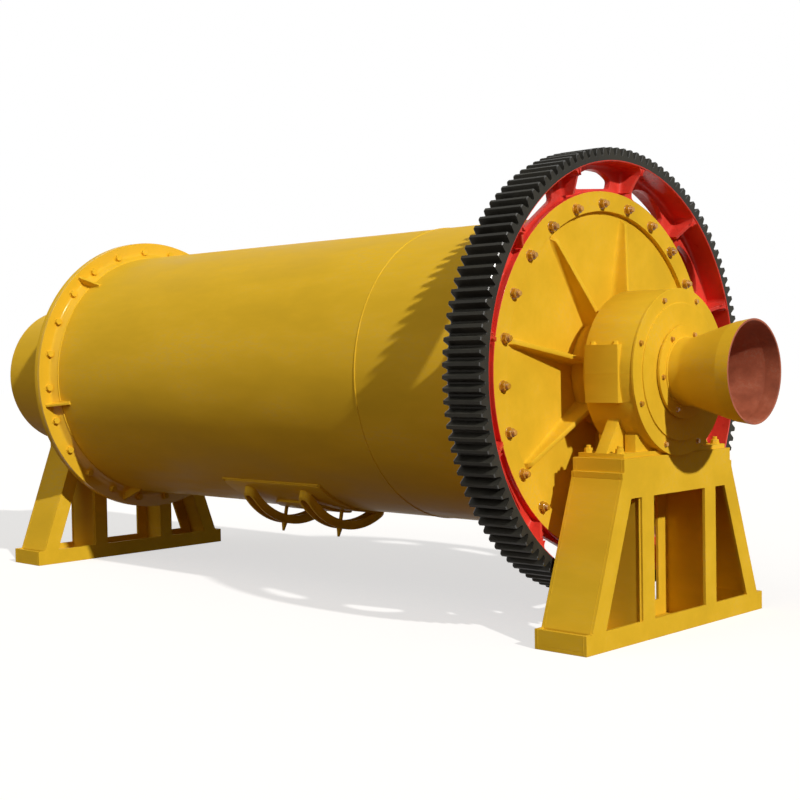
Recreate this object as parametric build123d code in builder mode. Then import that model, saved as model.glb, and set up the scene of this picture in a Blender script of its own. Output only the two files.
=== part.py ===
"""Ball mill for grinding ore: a horizontal drum turning on hollow trunnions in two bearings.

Row frame: origin on the floor under the middle of the machine's length, +Z up and +X along the
drum towards its girth gear and discharge end. Millimetres.
"""

import os
from math import acos, cos, degrees, pi, radians, sin, tan

from build123d import *

os.makedirs("parts", exist_ok=True)

# Drum shell
shell_bore = 1830.0
shell_wall = 20.0
shell_length = 4400.0
axis_height = 1472.0

# Bolted flanges and heads
flange_diameter = 2122.0
flange_thickness = 26.0
head_flange_thickness = 40.0
raised_ring_bore = 1886.0
head_recess = 28.0
head_thickness = 64.0
head_rib_count = 8
head_rib_start = 33.3
head_rib_thickness = 30.0
head_rib_outer_radius = 915.0
head_rib_outer_height = 32.0
head_rib_hub_height = 130.0
gusset_count = 6
gusset_start = 12.0
gusset_thickness = 16.0
gusset_height = 100.0
gusset_length = 190.0
hub_height = 34.0
hub_length = 60.0

# Girth gear
gear_module = 21.0
gear_teeth = 122
gear_pressure_angle = 20.0
gear_dedendum = 1.25
gear_face_width = 264.0
gear_front_overhang = 148.0
gear_rim_bore = 2442.0
gear_web_thickness = 40.0
gear_bay_count = 12
gear_fin_angle = 19.6
gear_fin_thickness = 22.0
gear_fin_foot_radius = 1078.0
gear_fin_foot_rise = 66.0
gear_fin_top_setback = 6.0
window_inner_radius = 1076.0
window_shoulder_radius = 1122.0
window_outer_radius = 1190.0
window_foot_width = 330.0
window_width = 366.0
window_corner = 24.0

# Hollow trunnions
journal_diameter = 600.0
trunnion_bore = 360.0
trunnion_spigot = 520.0
trunnion_root_diameter = 680.0
trunnion_root_length = 40.0
nose_diameter = 480.0
discharge_neck = 133.0
feed_neck = 252.0

# Bearings
pedestal_depth = 343.0
housing_inset = 23.0
housing_diameter = 940.0
housing_wall = 20.0
bush_wall = 39.7
bush_length = 280.0
journal_end_setback = 18.0
cover_diameter = 946.0
cover_thickness = 14.0
cover_step_diameter = 778.0
cover_step = 9.0
lug_reach = 485.0
lug_root = 400.0
lug_height = 160.0
lug_start = 45.0
lug_length = 220.0
foot_thickness = 25.0
foot_half_width = 520.0
foot_inset = 20.0
saddle_half_width = 365.0
saddle_height = 120.0
saddle_thickness = 70.0
saddle_inset = 49.0
gusset_block_thickness = 76.0
gusset_block_top = 240.0
gusset_block_top_y = 388.0

# Pedestals, each a box of plates
pedestal_drop = 460.0
pedestal_plate = 20.0
cap_half_width = 545.0
cap_height = 75.0
lip_half_width = 562.0
lip_height = 35.0
lip_width = 62.0
leg_foot_half_width = 848.0
base_toe = 59.0
base_height = 110.0
bay_half_width = 264.0
post_half_width = 380.0
bay_top_drop = 678.0
leg_strip = 120.0
leg_wall = 22.0

# Discharge trumpet
trumpet_flange_diameter = 526.0
trumpet_flange_thickness = 16.0
trumpet_pipe_diameter = 388.0
trumpet_pipe_end = 114.0
trumpet_crease = 394.0
trumpet_crease_diameter = 546.0
trumpet_length = 480.0
trumpet_mouth_diameter = 578.0
trumpet_wall = 12.0

# Feed drum
feed_drum_diameter = 1128.0
feed_drum_start = 119.0
feed_drum_end = 587.0
feed_drum_wall = 12.0
feed_inlet_diameter = 400.0
feed_inlet_length = 60.0

# Manhole on the underside, clamped by two bows
manhole_offset = -88.0
manhole_angle = -102.0
manhole_pad_length = 980.0
manhole_pad_width = 914.0
manhole_pad_thickness = 12.0
manhole_pad_corner = 50.0
manhole_opening_length = 400.0
manhole_opening_width = 330.0
manhole_opening_corner = 110.0
manhole_cover_length = 500.0
manhole_cover_width = 420.0
manhole_cover_thickness = 16.0
manhole_cover_corner = 140.0
bow_spacing = 564.0
bow_half_width = 403.0
bow_plate = 18.0
bow_gap = 64.0
bow_rise = 128.0
bow_depth = 60.0
bow_end_height = 34.0
bow_foot_width = 54.0
bow_inset = 5.0
bow_bolt_diameter = 26.0
bow_cone_length = 60.0
bow_cone_diameter = 42.0
bow_tip_diameter = 16.0

# Clearances
seat = 0.3
running = 6.0
axial_running = 5.5

# Radii and stations along the drum, measured outwards from each joint
shell_radius = shell_bore / 2 + shell_wall
base_half_length = leg_foot_half_width + base_toe
flange_radius = flange_diameter / 2
pedestal_top = axis_height - pedestal_drop
cover_outer = cover_thickness + cover_step
tube_start = cover_outer + axial_running

discharge_head_stack = gear_web_thickness + head_flange_thickness
discharge_reach = shell_length / 2 + discharge_head_stack + discharge_neck + pedestal_depth + trumpet_length
feed_reach = shell_length / 2 + head_flange_thickness + feed_neck + pedestal_depth + feed_drum_end
shell_middle = (feed_reach - discharge_reach) / 2
discharge_joint = shell_middle + shell_length / 2
feed_joint = shell_middle - shell_length / 2
gear_front = discharge_joint + gear_web_thickness + gear_front_overhang
manhole_x = shell_middle + manhole_offset

mill_axis = Axis((0, 0, axis_height), (1, 0, 0))


class End:
    """One end of the mill: where its head, pedestal and outer parts start, and which way is out."""

    def __init__(self, name, out, head_joint, neck):
        self.name = name
        self.out = out
        self.head_joint = head_joint
        self.head_face = head_joint + out * head_flange_thickness
        self.pedestal_inner = self.head_face + out * neck
        self.pedestal_outer = self.pedestal_inner + out * pedestal_depth

    def beyond_head(self, distance):
        return self.head_joint + self.out * distance

    def beyond_pedestal(self, distance):
        return self.pedestal_outer + self.out * distance

    def in_pedestal(self, distance):
        return self.pedestal_inner + self.out * distance


discharge = End("discharge", 1, discharge_joint + gear_web_thickness, discharge_neck)
feed = End("feed", -1, feed_joint, feed_neck)


def radial_plane(angle=90.0):
    """The plane through the drum's axis at an angle: local x runs along the drum, local y outwards."""
    a = radians(angle)
    return Plane(origin=(0, 0, axis_height), x_dir=(1, 0, 0), z_dir=(0, -sin(a), cos(a)))


def cross_plane(x, height=axis_height):
    """The plane across the drum at a station: local x is +Y, local y is up, and its normal is +X."""
    return Plane(origin=(x, 0, height), x_dir=(0, 1, 0), z_dir=(1, 0, 0))


def turned(*outline):
    """A ring turned about the drum's axis from an outline of (station, radius) points."""
    with BuildPart() as ring:
        with BuildSketch(radial_plane()):
            with BuildLine():
                Polyline(*outline, close=True)
            make_face()
        revolve(axis=mill_axis)
    return ring.part


def ring_of(x_start, x_end, outer_radius, inner_radius):
    """A plain ring between two stations."""
    corners = (x_start, inner_radius), (x_end, inner_radius), (x_end, outer_radius), (x_start, outer_radius)
    return turned(*corners)


def mirrored_in_y(points):
    """The points and their mirror images in the drum's upright middle plane, as one closed outline."""
    return [*points, *[(-y, z) for y, z in reversed(points)]]


def save(part, name):
    part.label = name
    export_step(part, f"parts/{name}.step")


# The manhole's opening goes through the shell and its pad
def manhole_plane(x):
    """The plane on the drum's axis whose normal points out through the manhole's middle."""
    a = radians(manhole_angle)
    return Plane(origin=(x, 0, axis_height), x_dir=(1, 0, 0), z_dir=(0, cos(a), sin(a)))


def manhole_cut(length, width, corner):
    """A round-cornered block standing on the drum's axis and reaching out through the shell."""
    with BuildPart() as block:
        with BuildSketch(manhole_plane(manhole_x)):
            RectangleRounded(length, width, corner)
        extrude(amount=flange_radius)
    return block.part


def manhole_opening():
    return manhole_cut(manhole_opening_length, manhole_opening_width, manhole_opening_corner)


def arc_of(width, radius):
    """The angle that a width measured along a curve of that radius takes up."""
    return degrees(width / radius)


def curved_plate(length, width, inner_radius, thickness):
    """A plate rolled to the shell's curve, centred on the manhole."""
    arc = arc_of(width, inner_radius)
    with BuildPart() as plate:
        with BuildSketch(radial_plane(manhole_angle - arc / 2)):
            with Locations((manhole_x, inner_radius + thickness / 2)):
                Rectangle(length, thickness)
        revolve(axis=mill_axis, revolution_arc=arc)
    return plate.part


# Drum shell, rolled plate with the manhole cut through it
with BuildPart() as shell:
    add(ring_of(feed_joint, discharge_joint, shell_radius, shell_bore / 2))
    add(manhole_opening(), mode=Mode.SUBTRACT)
save(shell.part, "shell")


def shell_flange(joint, inwards, with_gussets):
    """A flange ring at the shell's end, with a tapered hub. Its gussets run back along the shell."""
    seat_radius = shell_radius + seat
    back = joint + inwards * flange_thickness
    toe = back + inwards * gusset_length
    with BuildPart() as flange:
        with BuildSketch(cross_plane(joint)):
            Circle(flange_radius)
        extrude(amount=inwards * flange_thickness)
        hub_corners = (back, seat_radius + hub_height), (back + inwards * hub_length, seat_radius)
        add(turned((back, shell_bore / 2), *hub_corners, (back + inwards * hub_length, shell_bore / 2)))
        if with_gussets:
            for index in range(gusset_count):
                angle = gusset_start + index * 360 / gusset_count
                with BuildSketch(radial_plane(angle)):
                    with BuildLine():
                        Polyline(
                            (back, shell_bore / 2),
                            (back, seat_radius + gusset_height),
                            (toe, seat_radius),
                            (toe, shell_bore / 2),
                            close=True,
                        )
                    make_face()
                extrude(amount=gusset_thickness / 2, both=True)
        with BuildSketch(cross_plane(joint)):
            Circle(seat_radius)
        extrude(amount=inwards * (flange_thickness + gusset_length), mode=Mode.SUBTRACT)
    return flange.part


save(shell_flange(feed_joint, 1, True), "feed_flange")
save(shell_flange(discharge_joint, -1, False), "discharge_flange")


def head(end):
    """A cast head: flange ring, recessed disc with a spigot in the shell, and tapered ribs."""
    disc_face = head_flange_thickness - head_recess
    disc_back = disc_face - head_thickness
    spigot_radius = shell_bore / 2 - seat
    hole_radius = trunnion_spigot / 2
    root_radius = trunnion_root_diameter / 2
    with BuildPart() as body:
        add(
            turned(
                (end.beyond_head(disc_back), hole_radius),
                (end.beyond_head(disc_face), hole_radius),
                (end.beyond_head(disc_face), raised_ring_bore / 2),
                (end.beyond_head(head_flange_thickness), raised_ring_bore / 2),
                (end.beyond_head(head_flange_thickness), flange_radius),
                (end.beyond_head(0), flange_radius),
                (end.beyond_head(0), spigot_radius),
                (end.beyond_head(disc_back), spigot_radius),
            )
        )
        for index in range(head_rib_count):
            with BuildSketch(radial_plane(head_rib_start + index * 360 / head_rib_count)):
                with BuildLine():
                    Polyline(
                        (end.beyond_head(disc_face), root_radius + seat),
                        (end.beyond_head(disc_face + head_rib_hub_height), root_radius + seat),
                        (end.beyond_head(disc_face + head_rib_outer_height), head_rib_outer_radius),
                        (end.beyond_head(disc_face), head_rib_outer_radius),
                        close=True,
                    )
                make_face()
            extrude(amount=head_rib_thickness / 2, both=True)
    return body.part


def trunnion(end):
    """A hollow trunnion: spigot in the head, flared root, journal, and the nose for the outer tube."""
    disc_face = head_flange_thickness - head_recess
    journal_end = end.in_pedestal(pedestal_depth - journal_end_setback)
    return turned(
        (end.beyond_head(disc_face - head_thickness), trunnion_bore / 2),
        (end.beyond_head(disc_face - head_thickness), trunnion_spigot / 2),
        (end.beyond_head(disc_face), trunnion_spigot / 2),
        (end.beyond_head(disc_face), trunnion_root_diameter / 2),
        (end.beyond_head(disc_face + trunnion_root_length), trunnion_root_diameter / 2),
        (end.beyond_head(disc_face + 2 * trunnion_root_length), journal_diameter / 2),
        (journal_end, journal_diameter / 2),
        (journal_end, nose_diameter / 2),
        (end.beyond_pedestal(tube_start), nose_diameter / 2),
        (end.beyond_pedestal(tube_start), trunnion_bore / 2),
    )


for end in (discharge, feed):
    save(head(end), f"{end.name}_head")
    save(trunnion(end), f"{end.name}_trunnion")


# Girth gear: involute teeth on a rim, carried by a web with arched windows and tapered fins
pitch_radius = gear_module * gear_teeth / 2
tip_radius = pitch_radius + gear_module
root_radius = pitch_radius - gear_dedendum * gear_module
base_radius = pitch_radius * cos(radians(gear_pressure_angle))


def involute(angle):
    return tan(angle) - angle


def tooth_half_angle(radius):
    """Half the angle that a tooth fills at a radius, from the involute of its base circle."""
    at_pitch = pi / (2 * gear_teeth) + involute(radians(gear_pressure_angle))
    return at_pitch - involute(acos(base_radius / radius))


def tooth_outline():
    """All teeth as one closed outline, with each flank from root over pitch circle to tip."""
    flank = [(r, tooth_half_angle(r)) for r in (root_radius, pitch_radius, tip_radius)]
    half_tooth = [(r, -a) for r, a in flank] + [(r, a) for r, a in reversed(flank)]
    corners = []
    for tooth in range(gear_teeth):
        middle = 2 * pi * tooth / gear_teeth
        corners += [(r * cos(middle + a), r * sin(middle + a)) for r, a in half_tooth]
    return corners


with BuildPart() as gear_rim:
    with BuildSketch(cross_plane(gear_front)):
        with BuildLine():
            Polyline(*tooth_outline(), close=True)
        make_face()
        Circle(gear_rim_bore / 2, mode=Mode.SUBTRACT)
    extrude(amount=-gear_face_width)
save(gear_rim.part, "girth_gear_rim")


def window_outline():
    """An arched window: flat towards the shaft, crowned towards the teeth. Local x is outwards."""
    with BuildSketch() as window:
        with BuildLine():
            Polyline(
                (window_shoulder_radius, -window_width / 2),
                (window_inner_radius, -window_foot_width / 2),
                (window_inner_radius, window_foot_width / 2),
                (window_shoulder_radius, window_width / 2),
            )
            ThreePointArc(
                (window_shoulder_radius, window_width / 2),
                (window_outer_radius, 0),
                (window_shoulder_radius, -window_width / 2),
            )
        make_face()
        fillet(window.vertices(), window_corner)
    return window.sketch


web_front = discharge_joint + gear_web_thickness
bay = 360 / gear_bay_count

with BuildPart() as gear_web:
    with BuildSketch(cross_plane(discharge_joint)):
        Circle(gear_rim_bore / 2)
        Circle(shell_bore / 2, mode=Mode.SUBTRACT)
        with PolarLocations(0, gear_bay_count, start_angle=gear_fin_angle + bay / 2):
            add(window_outline(), mode=Mode.SUBTRACT)
    extrude(amount=gear_web_thickness)
    for index in range(gear_bay_count):
        with BuildSketch(radial_plane(gear_fin_angle + index * bay)):
            with BuildLine():
                Polyline(
                    (web_front, gear_fin_foot_radius),
                    (web_front + gear_fin_foot_rise, gear_fin_foot_radius),
                    (gear_front - gear_fin_top_setback, gear_rim_bore / 2),
                    (gear_front - gear_fin_top_setback, tip_radius),
                    (web_front, tip_radius),
                    close=True,
                )
            make_face()
        extrude(amount=gear_fin_thickness / 2, both=True)
    with BuildSketch(cross_plane(discharge_joint)):
        Circle(gear_rim_bore / 2)
    extrude(amount=gear_face_width, mode=Mode.INTERSECT)
save(gear_web.part, "girth_gear_web")

# Manhole pad, cover, and two bows that hold it shut
pad_radius = shell_radius + seat
cover_radius = pad_radius + manhole_pad_thickness + seat
bow_radius = cover_radius + seat
crown_radius = bow_radius + bow_rise

with BuildPart() as manhole_pad:
    add(curved_plate(manhole_pad_length, manhole_pad_width, pad_radius, manhole_pad_thickness))
    fillet(manhole_pad.edges().sort_by(SortBy.LENGTH)[:4], manhole_pad_corner)
    add(manhole_opening(), mode=Mode.SUBTRACT)
save(manhole_pad.part, "manhole_pad")

with BuildPart() as manhole_cover:
    cover_blank_width = manhole_cover_width + 2 * manhole_cover_thickness
    add(curved_plate(manhole_cover_length, cover_blank_width, cover_radius, manhole_cover_thickness))
    cover_outline = manhole_cut(manhole_cover_length, manhole_cover_width, manhole_cover_corner)
    add(cover_outline, mode=Mode.INTERSECT)
save(manhole_cover.part, "manhole_cover")


def bow(x):
    """A clamp bent from one bar into a long loop and arched over the cover, with a block at its crown."""
    half_arc = arc_of(bow_half_width, bow_radius)
    toe_arc = half_arc - arc_of(bow_foot_width, bow_radius)
    half_chord = bow_radius * sin(radians(half_arc))
    loop_width = bow_gap + 2 * bow_plate

    def at(arc, radius):
        a = radians(manhole_angle + arc)
        return radius * cos(a), radius * sin(a)

    with BuildPart() as clamp:
        with BuildSketch(cross_plane(x)):
            with BuildLine():
                outer = ThreePointArc(
                    at(-half_arc, bow_radius + bow_end_height),
                    at(0, crown_radius),
                    at(half_arc, bow_radius + bow_end_height),
                )
                inner = ThreePointArc(
                    at(toe_arc, bow_radius), at(0, crown_radius - bow_depth), at(-toe_arc, bow_radius)
                )
                Polyline(outer @ 1, at(half_arc, bow_radius), inner @ 0)
                Polyline(inner @ 1, at(-half_arc, bow_radius), outer @ 0)
            make_face()
        extrude(amount=loop_width / 2, both=True)
        with BuildSketch(manhole_plane(x)):
            SlotOverall(2 * half_chord, loop_width, rotation=90)
            SlotOverall(2 * (half_chord - bow_plate), bow_gap, rotation=90, mode=Mode.SUBTRACT)
        extrude(amount=crown_radius + bow_depth, mode=Mode.INTERSECT)
        with BuildSketch(manhole_plane(x).offset(crown_radius - bow_depth + bow_inset)):
            Rectangle(bow_gap, bow_gap)
            Circle(bow_bolt_diameter / 2 + seat, mode=Mode.SUBTRACT)
        extrude(amount=bow_depth - 2 * bow_inset)
    return clamp.part


def bow_bolt(x):
    """The draw bolt, standing on the pad and reaching out through the bow to its tapered nut."""
    cone_start = manhole_plane(x).offset(crown_radius - bow_inset)
    with BuildPart() as bolt:
        with BuildSketch(manhole_plane(x).offset(cover_radius)):
            Circle(bow_bolt_diameter / 2)
        extrude(amount=crown_radius - bow_inset - cover_radius)
        with BuildSketch(cone_start):
            Circle(bow_cone_diameter / 2)
        with BuildSketch(cone_start.offset(bow_cone_length)):
            Circle(bow_tip_diameter / 2)
        loft()
    return bolt.part


for number, side in enumerate((-1, 1), start=1):
    clamp_x = manhole_x + side * bow_spacing / 2
    save(bow(clamp_x), f"manhole_clamp_{number}")
    save(bow_bolt(clamp_x), f"manhole_bolt_{number}")

# Discharge trumpet, flaring outwards from the trunnion's nose
pipe_radius = trumpet_pipe_diameter / 2
crease_radius = trumpet_crease_diameter / 2
mouth_radius = trumpet_mouth_diameter / 2

discharge_trumpet = turned(
    (discharge.beyond_pedestal(tube_start), pipe_radius - trumpet_wall),
    (discharge.beyond_pedestal(tube_start), trumpet_flange_diameter / 2),
    (discharge.beyond_pedestal(tube_start + trumpet_flange_thickness), trumpet_flange_diameter / 2),
    (discharge.beyond_pedestal(tube_start + trumpet_flange_thickness), pipe_radius),
    (discharge.beyond_pedestal(trumpet_pipe_end), pipe_radius),
    (discharge.beyond_pedestal(trumpet_crease), crease_radius),
    (discharge.beyond_pedestal(trumpet_length), mouth_radius),
    (discharge.beyond_pedestal(trumpet_length), mouth_radius - trumpet_wall),
    (discharge.beyond_pedestal(trumpet_crease), crease_radius - trumpet_wall),
    (discharge.beyond_pedestal(trumpet_pipe_end), pipe_radius - trumpet_wall),
)
save(discharge_trumpet, "discharge_trumpet")

# Feed drum: flange and neck, inner end plate and rim in one piece, then the bolted end cover
drum_radius = feed_drum_diameter / 2
feed_drum = turned(
    (feed.beyond_pedestal(tube_start), pipe_radius - trumpet_wall),
    (feed.beyond_pedestal(tube_start), trumpet_flange_diameter / 2),
    (feed.beyond_pedestal(tube_start + trumpet_flange_thickness), trumpet_flange_diameter / 2),
    (feed.beyond_pedestal(tube_start + trumpet_flange_thickness), pipe_radius),
    (feed.beyond_pedestal(feed_drum_start), pipe_radius),
    (feed.beyond_pedestal(feed_drum_start), drum_radius),
    (feed.beyond_pedestal(feed_drum_end), drum_radius),
    (feed.beyond_pedestal(feed_drum_end), drum_radius - feed_drum_wall),
    (feed.beyond_pedestal(feed_drum_start + feed_drum_wall), drum_radius - feed_drum_wall),
    (feed.beyond_pedestal(feed_drum_start + feed_drum_wall), pipe_radius - trumpet_wall),
)
save(feed_drum, "feed_drum")

inlet_radius = feed_inlet_diameter / 2
cover_edge = drum_radius - feed_drum_wall - seat
feed_drum_cover = turned(
    (feed.beyond_pedestal(feed_drum_end), inlet_radius),
    (feed.beyond_pedestal(feed_drum_end), cover_edge),
    (feed.beyond_pedestal(feed_drum_end - feed_drum_wall), cover_edge),
    (feed.beyond_pedestal(feed_drum_end - feed_drum_wall), inlet_radius + feed_drum_wall),
    (feed.beyond_pedestal(feed_drum_end - feed_inlet_length), inlet_radius + feed_drum_wall),
    (feed.beyond_pedestal(feed_drum_end - feed_inlet_length), inlet_radius),
)
save(feed_drum_cover, "feed_drum_cover")


# Bearings: a split housing on its saddle, the bush inside it and the bolted outer cover
housing_radius = housing_diameter / 2
bush_bore = journal_diameter / 2 + seat
bush_radius = bush_bore + bush_wall


def housing_ring(end):
    """The whole round housing, before it is split at the journal's centre."""
    return turned(
        (end.in_pedestal(housing_inset), journal_diameter / 2 + running),
        (end.in_pedestal(housing_inset), housing_radius),
        (end.in_pedestal(pedestal_depth), housing_radius),
        (end.in_pedestal(pedestal_depth), bush_radius),
        (end.in_pedestal(housing_inset + housing_wall), bush_radius),
        (end.in_pedestal(housing_inset + housing_wall), journal_diameter / 2 + running),
    )


def block_across(end, start, length, outline):
    """A block from an outline of (y, height above the drum's axis), as deep as length along the drum."""
    with BuildPart() as block:
        with BuildSketch(cross_plane(end.in_pedestal(start))):
            with BuildLine():
                Polyline(*outline, close=True)
            make_face()
        extrude(amount=end.out * length)
    return block.part


def lugs(end, low, high):
    """The bolting lugs on both sides of a housing half."""
    corners = (lug_root, low), (lug_reach, low), (lug_reach, high), (lug_root, high)
    for side in (-1, 1):
        yield block_across(end, lug_start, lug_length, [(side * y, z) for y, z in corners])


def bearing_cap(end):
    with BuildPart() as cap:
        add(housing_ring(end))
        for lug in lugs(end, 0, lug_height):
            add(lug)
        add(bore_space(end), mode=Mode.SUBTRACT)
        split(bisect_by=Plane.XY.offset(axis_height), keep=Keep.TOP)
    return cap.part


def bore_space(end):
    """The room inside the housing, for the bush and the journal."""
    start = end.in_pedestal(housing_inset + housing_wall)
    with BuildPart() as space:
        with BuildSketch(cross_plane(start)):
            Circle(bush_radius)
        extrude(amount=end.out * pedestal_depth)
    return space.part


def bearing_base(end):
    foot = -pedestal_drop
    foot_length = pedestal_depth - 2 * foot_inset
    foot_top = foot + foot_thickness
    saddle_top = foot + saddle_height
    block_start = (pedestal_depth - gusset_block_thickness) / 2
    with BuildPart() as base:
        add(housing_ring(end))
        for lug in lugs(end, -lug_height, 0):
            add(lug)
        add(
            block_across(
                end,
                foot_inset,
                foot_length,
                mirrored_in_y([(foot_half_width, foot), (foot_half_width, foot_top)]),
            )
        )
        for start in (saddle_inset, pedestal_depth - saddle_inset - saddle_thickness):
            outline = mirrored_in_y([(saddle_half_width, foot), (saddle_half_width, saddle_top)])
            add(block_across(end, start, saddle_thickness, outline))
        gusset_points = [
            (foot_half_width, foot),
            (foot_half_width, foot_top),
            (gusset_block_top_y, -gusset_block_top),
        ]
        add(block_across(end, block_start, gusset_block_thickness, mirrored_in_y(gusset_points)))
        add(bore_space(end), mode=Mode.SUBTRACT)
        with BuildSketch(cross_plane(end.in_pedestal(0))):
            Circle(journal_diameter / 2 + running)
        extrude(amount=end.out * pedestal_depth, mode=Mode.SUBTRACT)
        split(bisect_by=Plane.XY.offset(axis_height), keep=Keep.BOTTOM)
        split(bisect_by=Plane.XY.offset(pedestal_top), keep=Keep.TOP)
    return base.part


def bearing_bush(end):
    start = housing_inset + housing_wall
    return ring_of(end.in_pedestal(start), end.in_pedestal(start + bush_length), bush_radius, bush_bore)


def bearing_cover(end):
    hole = nose_diameter / 2 + running
    return turned(
        (end.beyond_pedestal(0), hole),
        (end.beyond_pedestal(0), cover_diameter / 2),
        (end.beyond_pedestal(cover_thickness), cover_diameter / 2),
        (end.beyond_pedestal(cover_thickness), cover_step_diameter / 2),
        (end.beyond_pedestal(cover_outer), cover_step_diameter / 2),
        (end.beyond_pedestal(cover_outer), hole),
    )


# Pedestals: front and rear plates with three bays, full-depth posts, slanted sides, trough base
cap_foot = pedestal_drop + cap_height
lip_foot = cap_foot + lip_height
base_drop = axis_height - base_height
leg_slope = (leg_foot_half_width - lip_half_width) / (base_drop - lip_foot)


def leg_edge(drop):
    """How far out the slanted leg stands at a drop below the drum's axis."""
    return lip_half_width + leg_slope * (drop - lip_foot)


def face_plate(x_start, depth):
    """A front or rear plate, in one piece from the cap to the floor, with its three bays."""
    outline = [
        (cap_half_width, -pedestal_drop),
        (cap_half_width, -cap_foot),
        (lip_half_width, -cap_foot),
        (lip_half_width, -lip_foot),
        (leg_foot_half_width, -base_drop),
        (base_half_length, -base_drop),
        (base_half_length, -axis_height),
    ]
    side_bay = [
        (post_half_width, -bay_top_drop),
        (leg_edge(bay_top_drop) - leg_strip, -bay_top_drop),
        (leg_edge(base_drop) - leg_strip, -base_drop),
        (post_half_width, -base_drop),
    ]
    with BuildPart() as plate:
        with BuildSketch(cross_plane(x_start)):
            with BuildLine():
                Polyline(*mirrored_in_y(outline), close=True)
            make_face()
            with Locations((0, -(bay_top_drop + base_drop) / 2)):
                Rectangle(2 * bay_half_width, base_drop - bay_top_drop, mode=Mode.SUBTRACT)
            for side in (-1, 1):
                with BuildLine():
                    Polyline(*[(side * y, z) for y, z in side_bay], close=True)
                make_face(mode=Mode.SUBTRACT)
        extrude(amount=depth)
    return plate.part


def pedestal(end):
    """Every plate of one pedestal by name. Left is the -Y side."""
    inner_depth = pedestal_depth - 2 * pedestal_plate
    plate = pedestal_plate

    def between_faces(outline):
        return block_across(end, plate, inner_depth, outline)

    pieces = {
        "inner_plate": face_plate(end.in_pedestal(0), end.out * plate),
        "outer_plate": face_plate(end.in_pedestal(pedestal_depth - plate), end.out * plate),
        "base_plate": between_faces(
            mirrored_in_y([(base_half_length, -axis_height), (base_half_length, plate - axis_height)])
        ),
    }
    cap_points = [
        (cap_half_width, -pedestal_drop),
        (cap_half_width, -cap_foot),
        (lip_half_width, -cap_foot),
        (lip_half_width, -lip_foot),
        (lip_half_width - lip_width, -lip_foot),
        (lip_half_width - lip_width, -cap_foot),
    ]
    pieces["top_plate"] = between_faces(mirrored_in_y(cap_points))
    for side, hand in ((-1, "left"), (1, "right")):
        low = plate - axis_height
        leg = [
            (lip_half_width, -lip_foot),
            (leg_foot_half_width, -base_drop),
            (leg_foot_half_width, low),
            (leg_foot_half_width - leg_wall, low),
            (leg_foot_half_width - leg_wall, -base_drop),
            (lip_half_width - leg_wall, -lip_foot),
        ]
        post = [
            (post_half_width, low),
            (post_half_width, -cap_foot),
            (post_half_width - plate, -cap_foot),
            (post_half_width - plate, low),
        ]
        end_wall = [
            (base_half_length, low),
            (base_half_length, -base_drop),
            (base_half_length - plate, -base_drop),
            (base_half_length - plate, low),
        ]
        pieces[f"side_plate_{hand}"] = between_faces([(side * y, z) for y, z in leg])
        pieces[f"post_{hand}"] = between_faces([(side * y, z) for y, z in post])
        pieces[f"base_end_{hand}"] = between_faces([(side * y, z) for y, z in end_wall])
    return pieces


for end in (discharge, feed):
    save(bearing_cap(end), f"{end.name}_bearing_cap")
    save(bearing_base(end), f"{end.name}_bearing_base")
    save(bearing_bush(end), f"{end.name}_bearing_bush")
    save(bearing_cover(end), f"{end.name}_bearing_cover")
    for piece_name, piece in pedestal(end).items():
        save(piece, f"{end.name}_pedestal_{piece_name}")
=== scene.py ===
# %% [markdown]
# # Dressing a ball mill
#
# A ball mill is a plate drum, some metres long, that turns on two hollow trunnions and grinds ore with
# loose steel balls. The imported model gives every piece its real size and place. This lesson adds what a
# painter and a fitter would: rounded casting edges, rolled plate, weld beads, nuts, machined teeth, enamel.

import bmesh
import bpy
import numpy as np
from mathutils import Matrix, Vector


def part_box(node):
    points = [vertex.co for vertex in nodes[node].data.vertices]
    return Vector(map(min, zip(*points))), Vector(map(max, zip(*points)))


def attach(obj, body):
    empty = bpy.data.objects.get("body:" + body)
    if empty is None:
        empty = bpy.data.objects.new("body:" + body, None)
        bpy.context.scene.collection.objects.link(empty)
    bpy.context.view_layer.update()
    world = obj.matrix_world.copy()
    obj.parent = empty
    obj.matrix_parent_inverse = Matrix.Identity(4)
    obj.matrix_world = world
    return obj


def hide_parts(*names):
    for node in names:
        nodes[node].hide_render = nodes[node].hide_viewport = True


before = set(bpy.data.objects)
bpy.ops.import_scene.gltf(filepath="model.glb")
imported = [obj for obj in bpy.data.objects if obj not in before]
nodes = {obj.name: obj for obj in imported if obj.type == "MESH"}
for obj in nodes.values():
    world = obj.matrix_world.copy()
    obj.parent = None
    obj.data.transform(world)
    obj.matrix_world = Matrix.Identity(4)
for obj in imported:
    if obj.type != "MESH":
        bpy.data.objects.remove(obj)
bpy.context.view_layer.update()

# %% [markdown]
# ## Measures
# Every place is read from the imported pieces. A point beside the drum is given by its station along +X and
# by its radius and angle about the drum's axis, with angle 0 at +Y and 90 degrees upwards.

# %% Read the main sizes from the boxes
FULL_TURN = 2 * np.pi
ALONG = np.array([1.0, 0, 0])
UP = (0, 0, 1)


def low(node):
    """The corner of a node's box with the smallest x, y and z."""
    return np.array(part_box(node)[0])


def high(node):
    """The corner of a node's box with the largest x, y and z."""
    return np.array(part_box(node)[1])


def outer_radius(node):
    """Half the width of a round node across the drum."""
    return (high(node)[1] - low(node)[1]) / 2


AXIS_HEIGHT = (low("girth_gear_web")[2] + high("girth_gear_web")[2]) / 2
SHELL_RADIUS = outer_radius("shell")
SHELL_WALL = 0.020
FLANGE_RADIUS = outer_radius("feed_head")
FEED_JOINT = low("shell")[0]
DISCHARGE_JOINT = high("shell")[0]
print(f"drum axis {AXIS_HEIGHT:.3f} m up, shell radius {SHELL_RADIUS:.3f}, flange radius {FLANGE_RADIUS:.3f}")

# %% Points and directions about the drum's axis


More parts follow.
